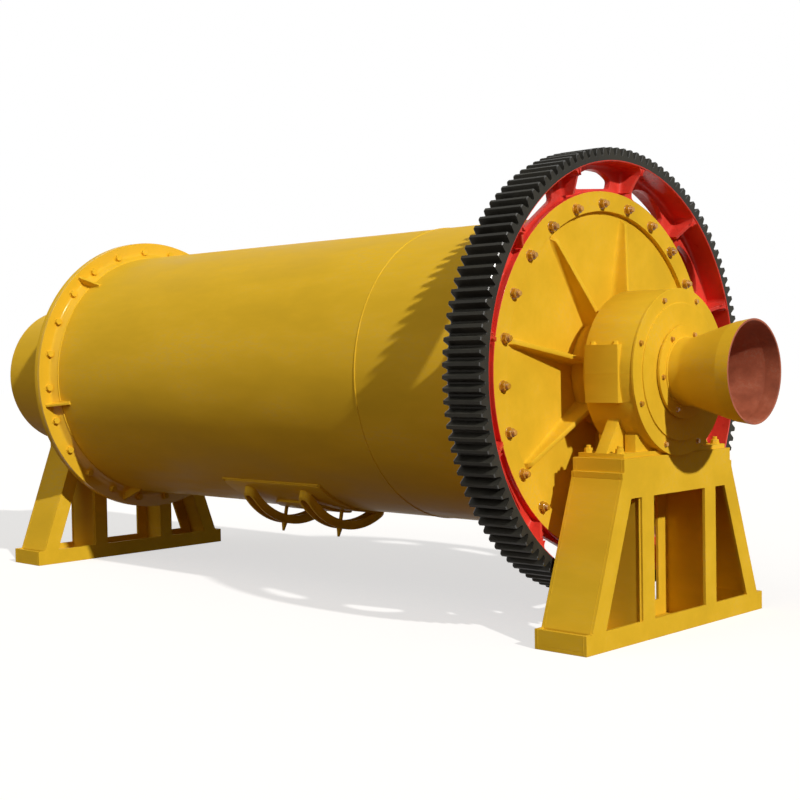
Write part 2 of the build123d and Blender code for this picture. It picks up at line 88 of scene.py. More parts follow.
def about_axis(station, radius, angle):
    """Points (x, y, z) = (station, radius cos angle, axis height + radius sin angle)."""
    station, radius, angle = np.broadcast_arrays(station, radius, angle)
    return np.stack([station, radius * np.cos(angle), AXIS_HEIGHT + radius * np.sin(angle)], axis=-1)


def around(angle):
    """Unit directions at an angle: away from the axis (0, cos, sin), and round it (0, -sin, cos)."""
    zero, cos, sin = np.zeros_like(angle), np.cos(angle), np.sin(angle)
    return np.stack([zero, cos, sin], axis=-1), np.stack([zero, -sin, cos], axis=-1)


# %% [markdown]
# ## Camera, floor and light
# The camera stands at eye height off the discharge end. Sunlight is one soft key lamp, from the side that
# makes the gear's face bright, and a broad faint lamp fills the shade. The floor and the sky are white to
# the camera and in reflections only. To every other ray the floor is a dull warm ground, which keeps the
# drum's underside dark.

# %% Camera
CAMERA_PLACE = (7.1709, -6.7960, 1.5813)
CAMERA_AZIMUTH, CAMERA_ELEVATION, CAMERA_ROLL = 43.751, 1.7509, -0.9706
CAMERA_LENS = 62.90

azimuth, elevation, roll = np.radians([CAMERA_AZIMUTH, CAMERA_ELEVATION, CAMERA_ROLL])
back = Vector((np.sin(azimuth) * np.cos(elevation), -np.cos(azimuth) * np.cos(elevation), np.sin(elevation)))
right = (-back).cross(Vector(UP)).normalized()
up = right.cross(-back)
turned_right = np.cos(roll) * right + np.sin(roll) * up
turned_up = -np.sin(roll) * right + np.cos(roll) * up

camera_data = bpy.data.cameras.new("camera")
camera_data.lens = CAMERA_LENS
camera_data.sensor_width = 36.0
camera = bpy.data.objects.new("camera", camera_data)
facing = Matrix((turned_right, turned_up, back)).transposed().to_4x4()
camera.matrix_world = Matrix.Translation(CAMERA_PLACE) @ facing
bpy.context.scene.collection.objects.link(camera)
bpy.context.scene.camera = camera
bpy.context.scene.view_settings.view_transform = "Standard"
print("camera at", CAMERA_PLACE, "lens", camera_data.lens)

# %% [markdown]
# A shader tree is built from small steps: a node is added, and its sockets are set or linked.

# %% Small helpers for shader trees


def feed(tree, socket, value):
    """Links an output to a socket, or sets a plain value on it."""
    if isinstance(value, bpy.types.NodeSocket):
        tree.links.new(value, socket)
    else:
        socket.default_value = value


def add_node(tree, kind, settings=None, **sockets):
    """A node with its properties set and its named sockets fed. A blank in a socket's name is written _."""
    node = tree.nodes.new(kind)
    for key, value in (settings or {}).items():
        setattr(node, key, value)
    for key, value in sockets.items():
        feed(tree, node.inputs[key.replace("_", " ")], value)
    return node


def through(tree, kind, settings, *values):
    """The first output of a new node whose sockets are fed in their order."""
    node = add_node(tree, kind, settings)
    for socket, value in zip(node.inputs, values):
        feed(tree, socket, value)
    return node.outputs[0]


def arithmetic(tree, operation, first, second):
    """The output of a Math node."""
    return through(tree, "ShaderNodeMath", {"operation": operation}, first, second)


# %% What the camera sees, and what lights the object


def show_instead(tree, lighting, shown, output):
    """Ends a tree. The camera, mirrors and glass meet shown, and every other ray meets lighting."""
    light_path = tree.nodes.new("ShaderNodeLightPath")
    mask = light_path.outputs["Is Camera Ray"]
    for name in ("Is Glossy Ray", "Is Transmission Ray"):
        mask = arithmetic(tree, "MAXIMUM", mask, light_path.outputs[name])
    add_node(tree, output, Surface=through(tree, "ShaderNodeMixShader", {}, mask, lighting, shown))


# %% Key lamp, fill lamp and sky
SUN_AZIMUTH, SUN_HEIGHT = -14.0, 31.0
SUN_STRENGTH, SUN_WIDTH, SUN_TINT = 2.85, 1.5, (1.0, 0.97, 0.92)
FILL_TOWARDS = (-0.20, -0.75, 0.63)
FILL_STRENGTH, FILL_WIDTH, FILL_TINT = 0.60, 70.0, (1.0, 0.97, 0.93)
SKY_STRENGTH, SKY_TINT = 0.17, (1.0, 0.92, 0.82, 1)
WHITE = (1, 1, 1, 1)
LAMP_DISTANCE = 12


def hang_lamp(name, towards, strength, width, tint):
    """A sun lamp in the direction towards, seen from the object as a disc that many degrees wide."""
    data = bpy.data.lights.new(name, "SUN")
    data.energy = strength
    data.angle = np.radians(width)
    data.color = tint
    lamp = bpy.data.objects.new(name, data)
    lamp.rotation_mode = "QUATERNION"
    lamp.rotation_quaternion = towards.to_track_quat("Z", "Y")
    lamp.location = towards * LAMP_DISTANCE
    bpy.context.scene.collection.objects.link(lamp)
    print(name, "towards", tuple(round(v, 3) for v in towards))


azimuth, height = np.radians([SUN_AZIMUTH, SUN_HEIGHT])
sun_towards = Vector((np.cos(height) * np.cos(azimuth), np.cos(height) * np.sin(azimuth), np.sin(height)))
hang_lamp("key_lamp", sun_towards, SUN_STRENGTH, SUN_WIDTH, SUN_TINT)
hang_lamp("fill_lamp", Vector(FILL_TOWARDS).normalized(), FILL_STRENGTH, FILL_WIDTH, FILL_TINT)

world = bpy.data.worlds.new("sky")
bpy.context.scene.world = world
world.use_nodes = True
tree = world.node_tree
tree.nodes.clear()
sky = add_node(tree, "ShaderNodeBackground", Color=SKY_TINT, Strength=SKY_STRENGTH)
white = add_node(tree, "ShaderNodeBackground", Color=WHITE, Strength=1.0)
show_instead(tree, sky.outputs[0], white.outputs[0], "ShaderNodeOutputWorld")

# %% Floor
FLOOR_REACH = 60.0
FLOOR_HEIGHT = -0.001
FLOOR_COLOUR, FLOOR_GLOW = (0.55, 0.55, 0.55, 1), 0.62
GROUND_BOUNCE = (0.12, 0.052, 0.022, 1)

corners = np.array([(-1, -1, 0), (1, -1, 0), (1, 1, 0), (-1, 1, 0)]) * FLOOR_REACH
mesh = bpy.data.meshes.new("floor")
mesh.from_pydata(corners.tolist(), [], [(0, 1, 2, 3)])
floor = bpy.data.objects.new("floor", mesh)
floor.location.z = FLOOR_HEIGHT
bpy.context.scene.collection.objects.link(floor)

material = bpy.data.materials.new("pale_floor")
material.use_nodes = True
tree = material.node_tree
tree.nodes.clear()
pale = add_node(tree, "ShaderNodeBsdfDiffuse", Color=FLOOR_COLOUR)
glow = add_node(tree, "ShaderNodeEmission", Color=WHITE, Strength=FLOOR_GLOW)
dull = add_node(tree, "ShaderNodeBsdfDiffuse", Color=GROUND_BOUNCE)
shown = through(tree, "ShaderNodeAddShader", {}, pale.outputs[0], glow.outputs[0])
show_instead(tree, dull.outputs[0], shown, "ShaderNodeOutputMaterial")
mesh.materials.append(material)
print("floor laid,", 2 * FLOOR_REACH, "m across")

# %% [markdown]
# ## Finishes
# The mill is sprayed with one yellow enamel, over a red-brown primer that still shows inside the trumpet.
# The girth gear's body is red, and its teeth are black with gear grease. Effects that several finishes
# share are node groups: `mottle` varies a colour from place to place, and `sprayed_film` gives the
# ripple of sprayed paint.

# %% Steps that the groups share


def new_group(name, inputs, outputs):
    """A new node group, its input sockets, its output node and the Object coordinates in it. Its sockets are
    given as (name, kind, value) and (name, kind)."""
    group = bpy.data.node_groups.new(name, "ShaderNodeTree")
    for socket, kind, value in inputs:
        made = group.interface.new_socket(socket, in_out="INPUT", socket_type=f"NodeSocket{kind}")
        made.default_value = value
    for socket, kind in outputs:
        group.interface.new_socket(socket, in_out="OUTPUT", socket_type=f"NodeSocket{kind}")
    place = add_node(group, "ShaderNodeTexCoord").outputs["Object"]
    return group, group.nodes.new("NodeGroupInput").outputs, group.nodes.new("NodeGroupOutput"), place


def noise(tree, place, scale, detail, roughness):
    """Cloudy values from 0 to 1 at a place, with that many clouds to the metre."""
    node = add_node(tree, "ShaderNodeTexNoise", Vector=place, Scale=scale, Detail=detail, Roughness=roughness)
    return node.outputs["Fac"]


def blend(tree, amount, first, second, mode="MIX"):
    """A colour mix: amount 0 gives first, amount 1 gives second. Its colour sockets are numbers 6 and 7."""
    node = add_node(tree, "ShaderNodeMix", {"data_type": "RGBA", "blend_type": mode})
    for index, value in ((0, amount), (6, first), (7, second)):
        feed(tree, node.inputs[index], value)
    return node.outputs[2]


def stretch(tree, value, low_end, high_end):
    """Stretches values between two ends to the range 0 to 1, with smooth shoulders."""
    node = add_node(tree, "ShaderNodeMapRange", {"interpolation_type": "SMOOTHSTEP"},
                    Value=value, From_Min=low_end, From_Max=high_end)
    return node.outputs["Result"]


# %% Group: mottle


def make_mottle():
    """Colour and roughness that vary softly: broad clouds, fine specks and a film of dust."""
    group, given, result, place = new_group(
        "mottle",
        [
            ("Colour", "Color", (0.8, 0.5, 0.1, 1)), ("Dust", "Color", (0.6, 0.5, 0.35, 1)),
            ("Dust Amount", "Float", 0.15), ("Cloud Depth", "Float", 0.12), ("Cloud Scale", "Float", 1.5),
            ("Speck Scale", "Float", 60.0), ("Drawn Along", "Float", 1.0), ("Roughness", "Float", 0.4),
        ],
        [("Colour", "Color"), ("Roughness", "Float")],
    )
    squeeze = through(group, "ShaderNodeCombineXYZ", {}, given["Drawn Along"], 1.0, 1.0)
    place = through(group, "ShaderNodeVectorMath", {"operation": "MULTIPLY"}, place, squeeze)
    clouds = noise(group, place, given["Cloud Scale"], 5.0, 0.6)
    specks = noise(group, place, given["Speck Scale"], 3.0, 0.7)
    centred = arithmetic(group, "SUBTRACT", stretch(group, clouds, 0.3, 0.7), 0.5)
    lift = arithmetic(group, "ADD", arithmetic(group, "MULTIPLY", centred, given["Cloud Depth"]), 1.0)
    grey = through(group, "ShaderNodeCombineColor", {}, lift, lift, lift)
    shaded = blend(group, 1.0, given["Colour"], grey, "MULTIPLY")
    cloud_mask, speck_mask = stretch(group, clouds, 0.45, 0.75), stretch(group, specks, 0.42, 0.62)
    dusty = arithmetic(group, "MULTIPLY", cloud_mask, speck_mask)
    dust = arithmetic(group, "MULTIPLY", dusty, given["Dust Amount"])
    rougher = arithmetic(group, "MULTIPLY", arithmetic(group, "ADD", centred, dust), 0.25)
    feed(group, result.inputs["Colour"], blend(group, dust, shaded, given["Dust"]))
    feed(group, result.inputs["Roughness"], arithmetic(group, "ADD", given["Roughness"], rougher))
    return group


mottle_group = make_mottle()

# %% Group: sprayed film


def make_sprayed_film():
    """A surface normal with the ripple of sprayed paint, and the long soft dents of plate work."""
    group, given, result, place = new_group(
        "sprayed_film",
        [
            ("Ripple Scale", "Float", 260.0), ("Ripple Depth", "Float", 0.0002),
            ("Dent Scale", "Float", 3.0), ("Dent Depth", "Float", 0.002),
        ],
        [("Normal", "Vector")],
    )
    ripple = noise(group, place, given["Ripple Scale"], 2.0, 0.5)
    ripple = arithmetic(group, "MULTIPLY", ripple, given["Ripple Depth"])
    dents = noise(group, place, given["Dent Scale"], 2.0, 0.4)
    dents = arithmetic(group, "MULTIPLY", dents, given["Dent Depth"])
    height = arithmetic(group, "ADD", ripple, dents)
    bump = add_node(group, "ShaderNodeBump", Height=height, Strength=1.0, Distance=1.0)
    feed(group, result.inputs["Normal"], bump.outputs[0])
    return group


film_group = make_sprayed_film()
print("groups:", [g.name for g in (mottle_group, film_group)])

# %% [markdown]
# A finish is its own small material: the Principled shader stays in the material, and the groups feed it.
# A number that is the same all over, such as the coat's weight, is set on the shader itself.

# %% The way a finish is put together


def finish_of(name, colour, roughness, dust, dust_amount, clouds, ripple=(260.0, 0.0002), dents=(3.0, 0.002),
              specks=60.0, drawn=1.0, **plain):
    """A material fed by both groups. clouds are a depth and a scale, ripple and dents a scale and a depth."""
    material = bpy.data.materials.new(name)
    material.use_nodes = True
    material.diffuse_color = (*colour, 1)
    tree = material.node_tree
    varied = add_node(
        tree, "ShaderNodeGroup", {"node_tree": mottle_group}, Colour=(*colour, 1), Dust=(*dust, 1),
        Dust_Amount=dust_amount, Cloud_Depth=clouds[0], Cloud_Scale=clouds[1], Speck_Scale=specks,
        Drawn_Along=drawn, Roughness=roughness,
    )
    rippled = add_node(
        tree, "ShaderNodeGroup", {"node_tree": film_group},
        Ripple_Scale=ripple[0], Ripple_Depth=ripple[1], Dent_Scale=dents[0], Dent_Depth=dents[1],
    )
    shader = tree.nodes["Principled BSDF"]
    feed(tree, shader.inputs["Base Color"], varied.outputs["Colour"])
    feed(tree, shader.inputs["Roughness"], varied.outputs["Roughness"])
    feed(tree, shader.inputs["Normal"], rippled.outputs["Normal"])
    for key, value in plain.items():
        shader.inputs[key.replace("_", " ")].default_value = value
    return material


# %% Make the finishes
yellow = finish_of(
    "yellow_enamel", (0.80, 0.50, 0.028), 0.40, (0.62, 0.47, 0.22), 0.20, clouds=(0.16, 2.5),
    ripple=(260.0, 0.00012), dents=(2.2, 0.0016), drawn=0.3, Specular_IOR_Level=0.015,
)
glossy_yellow = finish_of(
    "wet_looking_enamel", (0.82, 0.50, 0.028), 0.36, (0.62, 0.47, 0.22), 0.10, clouds=(0.10, 1.5),
    ripple=(260.0, 0.00008), dents=(2.2, 0.0010),
    Specular_IOR_Level=0.05, Coat_Weight=0.25, Coat_Roughness=0.12,
)
red = finish_of(
    "red_enamel", (0.70, 0.050, 0.034), 0.34, (0.35, 0.10, 0.06), 0.25, clouds=(0.30, 4.0),
    ripple=(120.0, 0.0005), dents=(14.0, 0.0015),
    Specular_IOR_Level=0.16, Coat_Weight=0.06, Coat_Roughness=0.12,
)
gear_black = finish_of(
    "greased_teeth", (0.036, 0.035, 0.029), 0.50, (0.05, 0.045, 0.03), 0.4, clouds=(0.5, 5.0),
    ripple=(90.0, 0.0004), dents=(22.0, 0.0008), Specular_IOR_Level=0.10,
)
worn_corner = finish_of(
    "worn_tooth_corner", (0.030, 0.029, 0.025), 0.24, (0.05, 0.045, 0.03), 0.2, clouds=(0.3, 5.0),
    ripple=(90.0, 0.0001), dents=(22.0, 0.0002),
    Specular_IOR_Level=0.5, Coat_Weight=0.6, Coat_Roughness=0.16,
)
# Dark brown on the nuts and bolts: partly their thin, dirty paint, and partly painted shade that darkens them
# as if they sat in shadow.
shaded_bolt_paint = finish_of(
    "bolt_paint_and_painted_shade", (0.54, 0.26, 0.016), 0.28, (0.16, 0.055, 0.015), 0.8, clouds=(0.5, 9.0),
    ripple=(260.0, 0.0002), specks=45.0, Coat_Weight=0.25, Coat_Roughness=0.15,
)
primer = finish_of(
    "brown_primer", (0.37, 0.092, 0.042), 0.66, (0.42, 0.22, 0.14), 0.7, clouds=(0.5, 7.0),
    ripple=(160.0, 0.0004), dents=(9.0, 0.001),
)
steel = finish_of(
    "journal_steel", (0.55, 0.54, 0.52), 0.28, (0.30, 0.27, 0.22), 0.3, clouds=(0.15, 6.0),
    ripple=(400.0, 0.00005), dents=(8.0, 0.0002), Metallic=1.0,
)
bronze = finish_of(
    "bush_bronze", (0.60, 0.40, 0.18), 0.35, (0.25, 0.17, 0.08), 0.3, clouds=(0.2, 8.0),
    ripple=(300.0, 0.00005), dents=(8.0, 0.0002), Metallic=1.0,
)
finishes = (yellow, glossy_yellow, red, gear_black, worn_corner, shaded_bolt_paint, primer, steel, bronze)
print("finishes:", [finish.name for finish in finishes])

# %% [markdown]
# ## Ways of making surfaces
# Nearly everything on a mill is turned, rolled or bolted. So three tools do most of the work: a closed
# outline turned about the axis, a stack of closed rings, and one small shape repeated at many places.
# Most pieces are yellow and turn with the drum, so that is what a new piece is unless it is told otherwise.

# %% Turn arrays into a piece that rides on its body


def place_piece(name, mesh, stands_for, finish, body):
    """An object at the origin that rides on a body. It takes one finish or a list of them."""
    for material in finish if isinstance(finish, list) else [finish]:
        mesh.materials.append(material)
    piece = bpy.data.objects.new(name, mesh)
    bpy.context.scene.collection.objects.link(piece)
    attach(piece, body)
    if stands_for:
        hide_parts(stands_for)
    return piece


def make_piece(name, points, faces, stands_for=None, finish=yellow, body="drum", slot_name="yellow_paint",
               smooth=True):
    """A piece from an array of points and a list of faces. Its place is in its mesh."""
    mesh = bpy.data.meshes.new(name)
    mesh.from_pydata(points.tolist(), [], faces)
    mesh.validate()
    mesh.update()
    mesh.polygons.foreach_set("use_smooth", np.full(len(mesh.polygons), smooth))
    return place_piece(name, mesh, stands_for, finish, body)


def grid_faces(rows, columns, close_rows, close_columns=True):
    """The quads of a grid of rows by columns. A closed direction joins its last line to its first."""
    i = np.arange(rows if close_rows else rows - 1)
    j = np.arange(columns if close_columns else columns - 1)
    i, j = np.meshgrid(i, j, indexing="ij")
    next_i, next_j = (i + 1) % rows, (j + 1) % columns
    corners = [i * columns + j, i * columns + next_j, next_i * columns + next_j, next_i * columns + j]
    return np.stack(corners, axis=-1).reshape(-1, 4).tolist()


def facing_out(piece):
    """Turns every face of a closed piece outwards."""
    work = bmesh.new()
    work.from_mesh(piece.data)
    bmesh.ops.remove_doubles(work, verts=work.verts, dist=1e-6)
    bmesh.ops.recalc_face_normals(work, faces=work.faces)
    work.to_mesh(piece.data)
    work.free()
    return piece


# %% Edges, by modifiers


def split_edges(piece, angle):
    """Shades the faces on both sides of an edge apart where they turn by more than the angle."""
    piece.modifiers.new("square edges", "EDGE_SPLIT").split_angle = np.radians(angle)


def break_edges(piece, width, segments=2, harden=True):
    """A small bevel on every edge of more than 25 degrees, as grinding and paint leave it."""
    bevel = piece.modifiers.new("broken edges", "BEVEL")
    bevel.width = width
    bevel.segments = segments
    bevel.limit_method = "ANGLE"
    bevel.angle_limit = np.radians(25)
    bevel.harden_normals = harden
    bevel.miter_outer = "MITER_ARC"


# %% [markdown]
# Turned pieces are drawn as a machinist's half section. Each point of an outline has its distance out from
# a station, its radius and the fillet at that corner, all in millimetres.

# %% Round an outline's corners, and turn it about the drum's axis
FILLET_STEPS = 4


def rounded(corner, fillet):
    """A closed outline with its corners rounded. A corner P between unit directions u and v, which point to
    its neighbours, becomes the curve P + u t (1-s)^2 + v t s^2 for s from 0 to 1. It touches both sides at
    a distance t from the corner, which is the fillet but at most 0.3 of the shorter side. One more point
    on each side, at 1.5 t, keeps the shading of the flats flat."""
    before, after = np.roll(corner, 1, axis=0) - corner, np.roll(corner, -1, axis=0) - corner
    reach_before, reach_after = np.linalg.norm(before, axis=1), np.linalg.norm(after, axis=1)
    t = np.minimum(fillet, 0.3 * np.minimum(reach_before, reach_after))[:, None, None]
    u, v = (before / reach_before[:, None])[:, None], (after / reach_after[:, None])[:, None]
    s = np.linspace(0, 1, FILLET_STEPS + 1)[None, :, None]
    curve = corner[:, None] + u * t * (1 - s) ** 2 + v * t * s**2
    lead_in, lead_out = corner[:, None] + u * t * 1.5, corner[:, None] + v * t * 1.5
    return np.concatenate([lead_in, curve, lead_out], axis=1).reshape(-1, 2)


def turned_points(outline, segments):
    """The outline's (station, radius) points carried round the axis in equal angles."""
    angle = np.arange(segments) * FULL_TURN / segments
    return about_axis(outline[:, :1], outline[:, 1:], angle[None, :]).reshape(-1, 3)


def turned_piece(name, start, out, outline, segments, stands_for=None, **kind):
    """A closed ring from a half section. The outline's distances are counted out from the start station."""
    distance, radius, fillet = np.transpose(outline) / 1000
    profile = rounded(np.column_stack([start + out * distance, radius]), fillet)
    faces = grid_faces(len(profile), segments, True)
    return facing_out(make_piece(name, turned_points(profile, segments), faces, stands_for, **kind))


# %% Stack closed rings, and repeat or join shapes


def stacked(rings):
    """Points and faces of a stack of closed rings, an array (rings, points, 3), with both ends capped."""
    rows, columns = rings.shape[:2]
    caps = [list(range(columns))[::-1], list(range((rows - 1) * columns, rows * columns))]
    return rings.reshape(-1, 3), grid_faces(rows, columns, False) + caps


def repeated(points, faces, places):
    """One shape at many places. A place is a 3 by 4 array: three axes as columns, then the origin."""
    places = np.asarray(places)
    moved = np.einsum("kij,nj->kni", places[:, :, :3], points) + places[:, None, :, 3]
    count = len(points)
    many = [[corner + count * k for corner in face] for k in range(len(places)) for face in faces]
    return moved.reshape(-1, 3), many


def joined(shapes):
    """Several (points, faces) shapes as one."""
    all_faces, start = [], 0
    for points, faces in shapes:
        all_faces += [[c + start for c in face] for face in faces]
        start += len(points)
    return np.concatenate([points for points, faces in shapes]), all_faces


# %% Places for bolts


def place_at(origin, out, side):
    """A place whose third axis points out and whose first axis leans towards side."""
    out = np.asarray(out, float) / np.linalg.norm(out)
    side = np.asarray(side, float) - np.dot(side, out) * out
    side = side / np.linalg.norm(side)
    return np.column_stack([side, np.cross(out, side), out, origin])


def spread_round(station, radius, start, count, out):
    """Places for a ring of bolts, facing along the drum, from a start angle in degrees."""
    angles = np.radians(start) + np.arange(count) * FULL_TURN / count
    origins, outwards = about_axis(station, radius, angles), around(angles)[0]
    return [place_at(origin, out * ALONG, side) for origin, side in zip(origins, outwards)]


# %% [markdown]
# ## Nuts, washers and studs
# A nut is a hexagon with its top corners turned off. Its outline at an angle a is the flat's distance
# divided by cos of the angle from the middle of that flat, held inside the circle of the turned corner.
# A cut with a cone would do the same, but rings from a formula stay light, and the mill has over a hundred.

# %% The nut's shape
NUT_COLUMNS = 24
THREADS = 4


def nut_shape(stud, stud_reach):
    """A nut and washer on a stud of that diameter, as rings from the washer's edge in to the stud's top.
    The hexagon's radius is apothem / cos(angle from the nearest flat's middle), and all sizes are shares
    of the stud's. With no reach it is the plain head of a bolt."""
    angle = np.arange(NUT_COLUMNS) * FULL_TURN / NUT_COLUMNS
    flats, base, top = 1.55 * stud, 0.12 * stud, 0.92 * stud
    hexagon = flats / 2 / np.cos((angle + np.pi / 6) % (np.pi / 3) - np.pi / 6)
    circle = np.ones(NUT_COLUMNS)
    plate, bolt = circle * 0.64 * flats, circle * stud / 2
    rings = [(plate, 0.0), (plate, base * 0.8), (plate * 0.97, base)]
    rings += [(hexagon, base), (hexagon, base + 0.01 * stud)]
    rings += [(np.minimum(hexagon, 0.53 * flats), top - 0.07 * stud), (circle * 0.475 * flats, top)]
    if stud_reach:
        pitch = stud_reach * 0.8 / THREADS
        for start in top + pitch * np.arange(THREADS):
            rings += [(bolt, start), (bolt * 0.93, start + 0.25 * pitch), (bolt, start + 0.6 * pitch)]
        rings += [(bolt, top + stud_reach * 0.86), (bolt * 0.82, top + stud_reach)]
    rings += [(bolt * 0.02, top + stud_reach)]
    radius = np.array([ring_radius for ring_radius, z in rings])
    height = np.array([z for ring_radius, z in rings])[:, None] * circle
    return stacked(np.stack([radius * np.cos(angle), radius * np.sin(angle), height], axis=-1))


def bolt_up(name, stud, stud_reach, places, finish, body="drum"):
    """The same nut or bolt head at every place, as one piece with flat faces."""
    points, faces = repeated(*nut_shape(stud, stud_reach), places)
    make_piece(name, points, faces, finish=finish, body=body, smooth=False)
    print(name, len(places), "nuts" if stud_reach else "bolt heads")


# %% [markdown]
# ## Weld beads
# A fillet weld is a rope of overlapping ripples. The bead is a round section carried along its path, and
# its size swells and shrinks with each ripple. As a mesh it catches the light like the real one, which a
# bump in the paint would not.

# %% The bead
BEAD = 0.006
BEAD_SIDES = 8
RIPPLE = 0.012
STRAIGHT_STEP, ROUND_STEP = 0.006, 0.007


def bead(path, lean, size, closed=False):
    """Points and faces of a bead along a path. lean is the direction out of the corner at each path
    point. The radius is size times 1 + 0.12 |sin| of the length run, one swell a ripple."""
    step = np.roll(path, -1, axis=0) - path
    if not closed:
        step[-1] = step[-2]
    run = np.concatenate([[0], np.cumsum(np.linalg.norm(step[:-1], axis=1))])
    along = step / np.linalg.norm(step, axis=1)[:, None]
    side = np.cross(along, lean)
    side /= np.linalg.norm(side, axis=1)[:, None]
    swell = size * (1 + 0.12 * np.abs(np.sin(np.pi * run / RIPPLE)))
    turn = (np.arange(BEAD_SIDES) * FULL_TURN / BEAD_SIDES)[None, :, None]
    spread = np.cos(turn) * lean[:, None] + np.sin(turn) * side[:, None]
    rings = path[:, None] + swell[:, None, None] * spread
    if closed:
        return rings.reshape(-1, 3), grid_faces(len(path), BEAD_SIDES, True)
    return stacked(rings)


def straight_bead(start, end, lean, size=BEAD):
    """A bead on a straight path from start to end."""
    start, end = np.asarray(start, float), np.asarray(end, float)
    count = max(4, int(np.linalg.norm(end - start) / STRAIGHT_STEP))
    path = start + (end - start) * np.linspace(0, 1, count)[:, None]
    return bead(path, np.broadcast_to(np.asarray(lean, float) / np.linalg.norm(lean), path.shape), size)


def round_bead(station, radius, lean_out, lean_along):
    """A bead right round the drum, leaning outwards and along the drum by the given parts."""
    count = int(FULL_TURN * radius / ROUND_STEP)
    angle = np.arange(count) * FULL_TURN / count
    lean = lean_out * around(angle)[0] + lean_along * ALONG
    return bead(about_axis(station, radius, angle), lean / np.linalg.norm(lean, axis=1)[:, None], BEAD, True)


# %% [markdown]
# ## Plates and castings kept from the model
# Plates, lugs and clamps already have their true shape. A copy of each is welded into one skin, its flat
# triangles are joined, and a small bevel breaks the edges as grinding and paint do. A sharp edge would
# never catch the light.

# %% Copy a node with broken edges


def copy_with_edges(node, width, segments=2, finish=yellow, body="drum", slot_name="yellow_paint",
                    join_flats=True, smooth=True):
    """A copy with bevelled edges. A flat face with several holes can't be one polygon, so it isn't joined."""
    mesh = nodes[node].data.copy()
    mesh.materials.clear()
    work = bmesh.new()
    work.from_mesh(mesh)
    bmesh.ops.remove_doubles(work, verts=work.verts, dist=1e-6)
    if join_flats:
        flat = np.radians(0.5)
        bmesh.ops.dissolve_limit(
            work, angle_limit=flat, use_dissolve_boundaries=False, verts=work.verts, edges=work.edges
        )
    work.to_mesh(mesh)
    work.free()
    mesh.polygons.foreach_set("use_smooth", np.full(len(mesh.polygons), smooth))
    piece = place_piece(f"{node}_skin", mesh, node, finish, body)
    break_edges(piece, width, segments, harden=smooth)


# %% [markdown]
# ## The shell
# The shell is rolled plate, welded from courses. Rolled plate is never quite round, so its radius varies
# by a millimetre, and the seam between two courses stands proud as a bead. The waves are in the mesh, so
# that the long reflections bend softly.

# %% Shell
SHELL_SEGMENTS = 256
SHELL_STATIONS = 49
SEAM_STATION = DISCHARGE_JOINT - 1.110
SEAM_SUNK = 0.003


def shell_surface():
    """The plate's outline as a closed ring of stations on the outer and inner face, turned about the axis.
    The radius adds 0.6 mm sin(2 angle + 3 station) + 0.4 mm sin(5 angle - 4 station) - 0.8 mm, all times
    sin(pi share of the length), so that it is true at both ends."""
    stations = np.linspace(FEED_JOINT, DISCHARGE_JOINT, SHELL_STATIONS)
    outer = np.column_stack([stations, np.full(SHELL_STATIONS, SHELL_RADIUS)])
    inner = np.column_stack([stations[::-1], np.full(SHELL_STATIONS, SHELL_RADIUS - SHELL_WALL)])
    outline = np.concatenate([outer, inner])
    angle = np.arange(SHELL_SEGMENTS)[None, :] * FULL_TURN / SHELL_SEGMENTS
    station = outline[:, :1]
    inside_ends = np.sin(np.pi * (station - FEED_JOINT) / (DISCHARGE_JOINT - FEED_JOINT))
    wave = 0.0006 * np.sin(2 * angle + 3 * station) + 0.0004 * np.sin(5 * angle - 4 * station) - 0.0008
    points = about_axis(station, outline[:, 1:] + wave * inside_ends, angle).reshape(-1, 3)
    return points, grid_faces(len(outline), SHELL_SEGMENTS, True)


shell = facing_out(make_piece("shell_plate", *shell_surface(), "shell"))
split_edges(shell, 40)
make_piece("shell_seam", *round_bead(SEAM_STATION, SHELL_RADIUS - SEAM_SUNK, 1, 0))
print("shell points:", len(shell.data.vertices))

# %% [markdown]
# ## Flanges
# The flange rings are turned with a tapered hub. Six gussets stiffen the feed flange. Its bolts go through
# the flange and the head, with a nut on one side and the bolt's head on the other. The discharge head is
# bolted to the girth gear's web, which stands between it and its flange. The rings are turned anew for
# the sake of their fillets.

# %% Flange rings
FLANGE = FLANGE_RADIUS * 1000
SEAT = SHELL_RADIUS * 1000 + 0.3
FLANGE_FACE, HUB_HEIGHT, HUB_END = 26, 34, 86
flange_outline = [
    (0, SEAT, 0.5), (0, FLANGE, 4), (FLANGE_FACE, FLANGE, 4), (FLANGE_FACE, SEAT + HUB_HEIGHT, 16),
    (HUB_END, SEAT, 2),
]
JOINTS = [("feed_flange", FEED_JOINT, 1), ("discharge_flange", DISCHARGE_JOINT, -1)]
for name, joint, inwards in JOINTS:
    turned_piece(f"{name}_ring", joint, inwards, flange_outline, 256, name, finish=glossy_yellow)
print("flange rings, radius", round(FLANGE_RADIUS, 3))

# %% [markdown]
# A slab is a flat outline with a thickness, for a gusset or any other plate that stands on edge.

# %% Gussets on the feed flange
GUSSET_ANGLES = np.radians(12.0 + 60.0 * np.arange(6))
GUSSET_LENGTH, GUSSET_HEIGHT, GUSSET_TOE, GUSSET_THICKNESS = 0.190, 0.101, 0.012, 0.016
GUSSET_SUNK = 0.001
FOOT_WELD, BACK_WELD = (0.064, 0.188), (0.040, 0.098)
WELD_SIDE, WELD_OUT = 0.009, 0.001


def slab(outline, thickness, place):
    """A plate whose outline (u, v) lies in the place's first two axes, half its thickness to each side."""
    outline = np.asarray(outline, float)
    rings = [np.column_stack([outline, np.full(len(outline), z)]) for z in (-thickness / 2, thickness / 2)]
    points, faces = stacked(np.array(rings))
    return points @ place[:, :3].T + place[:, 3], faces


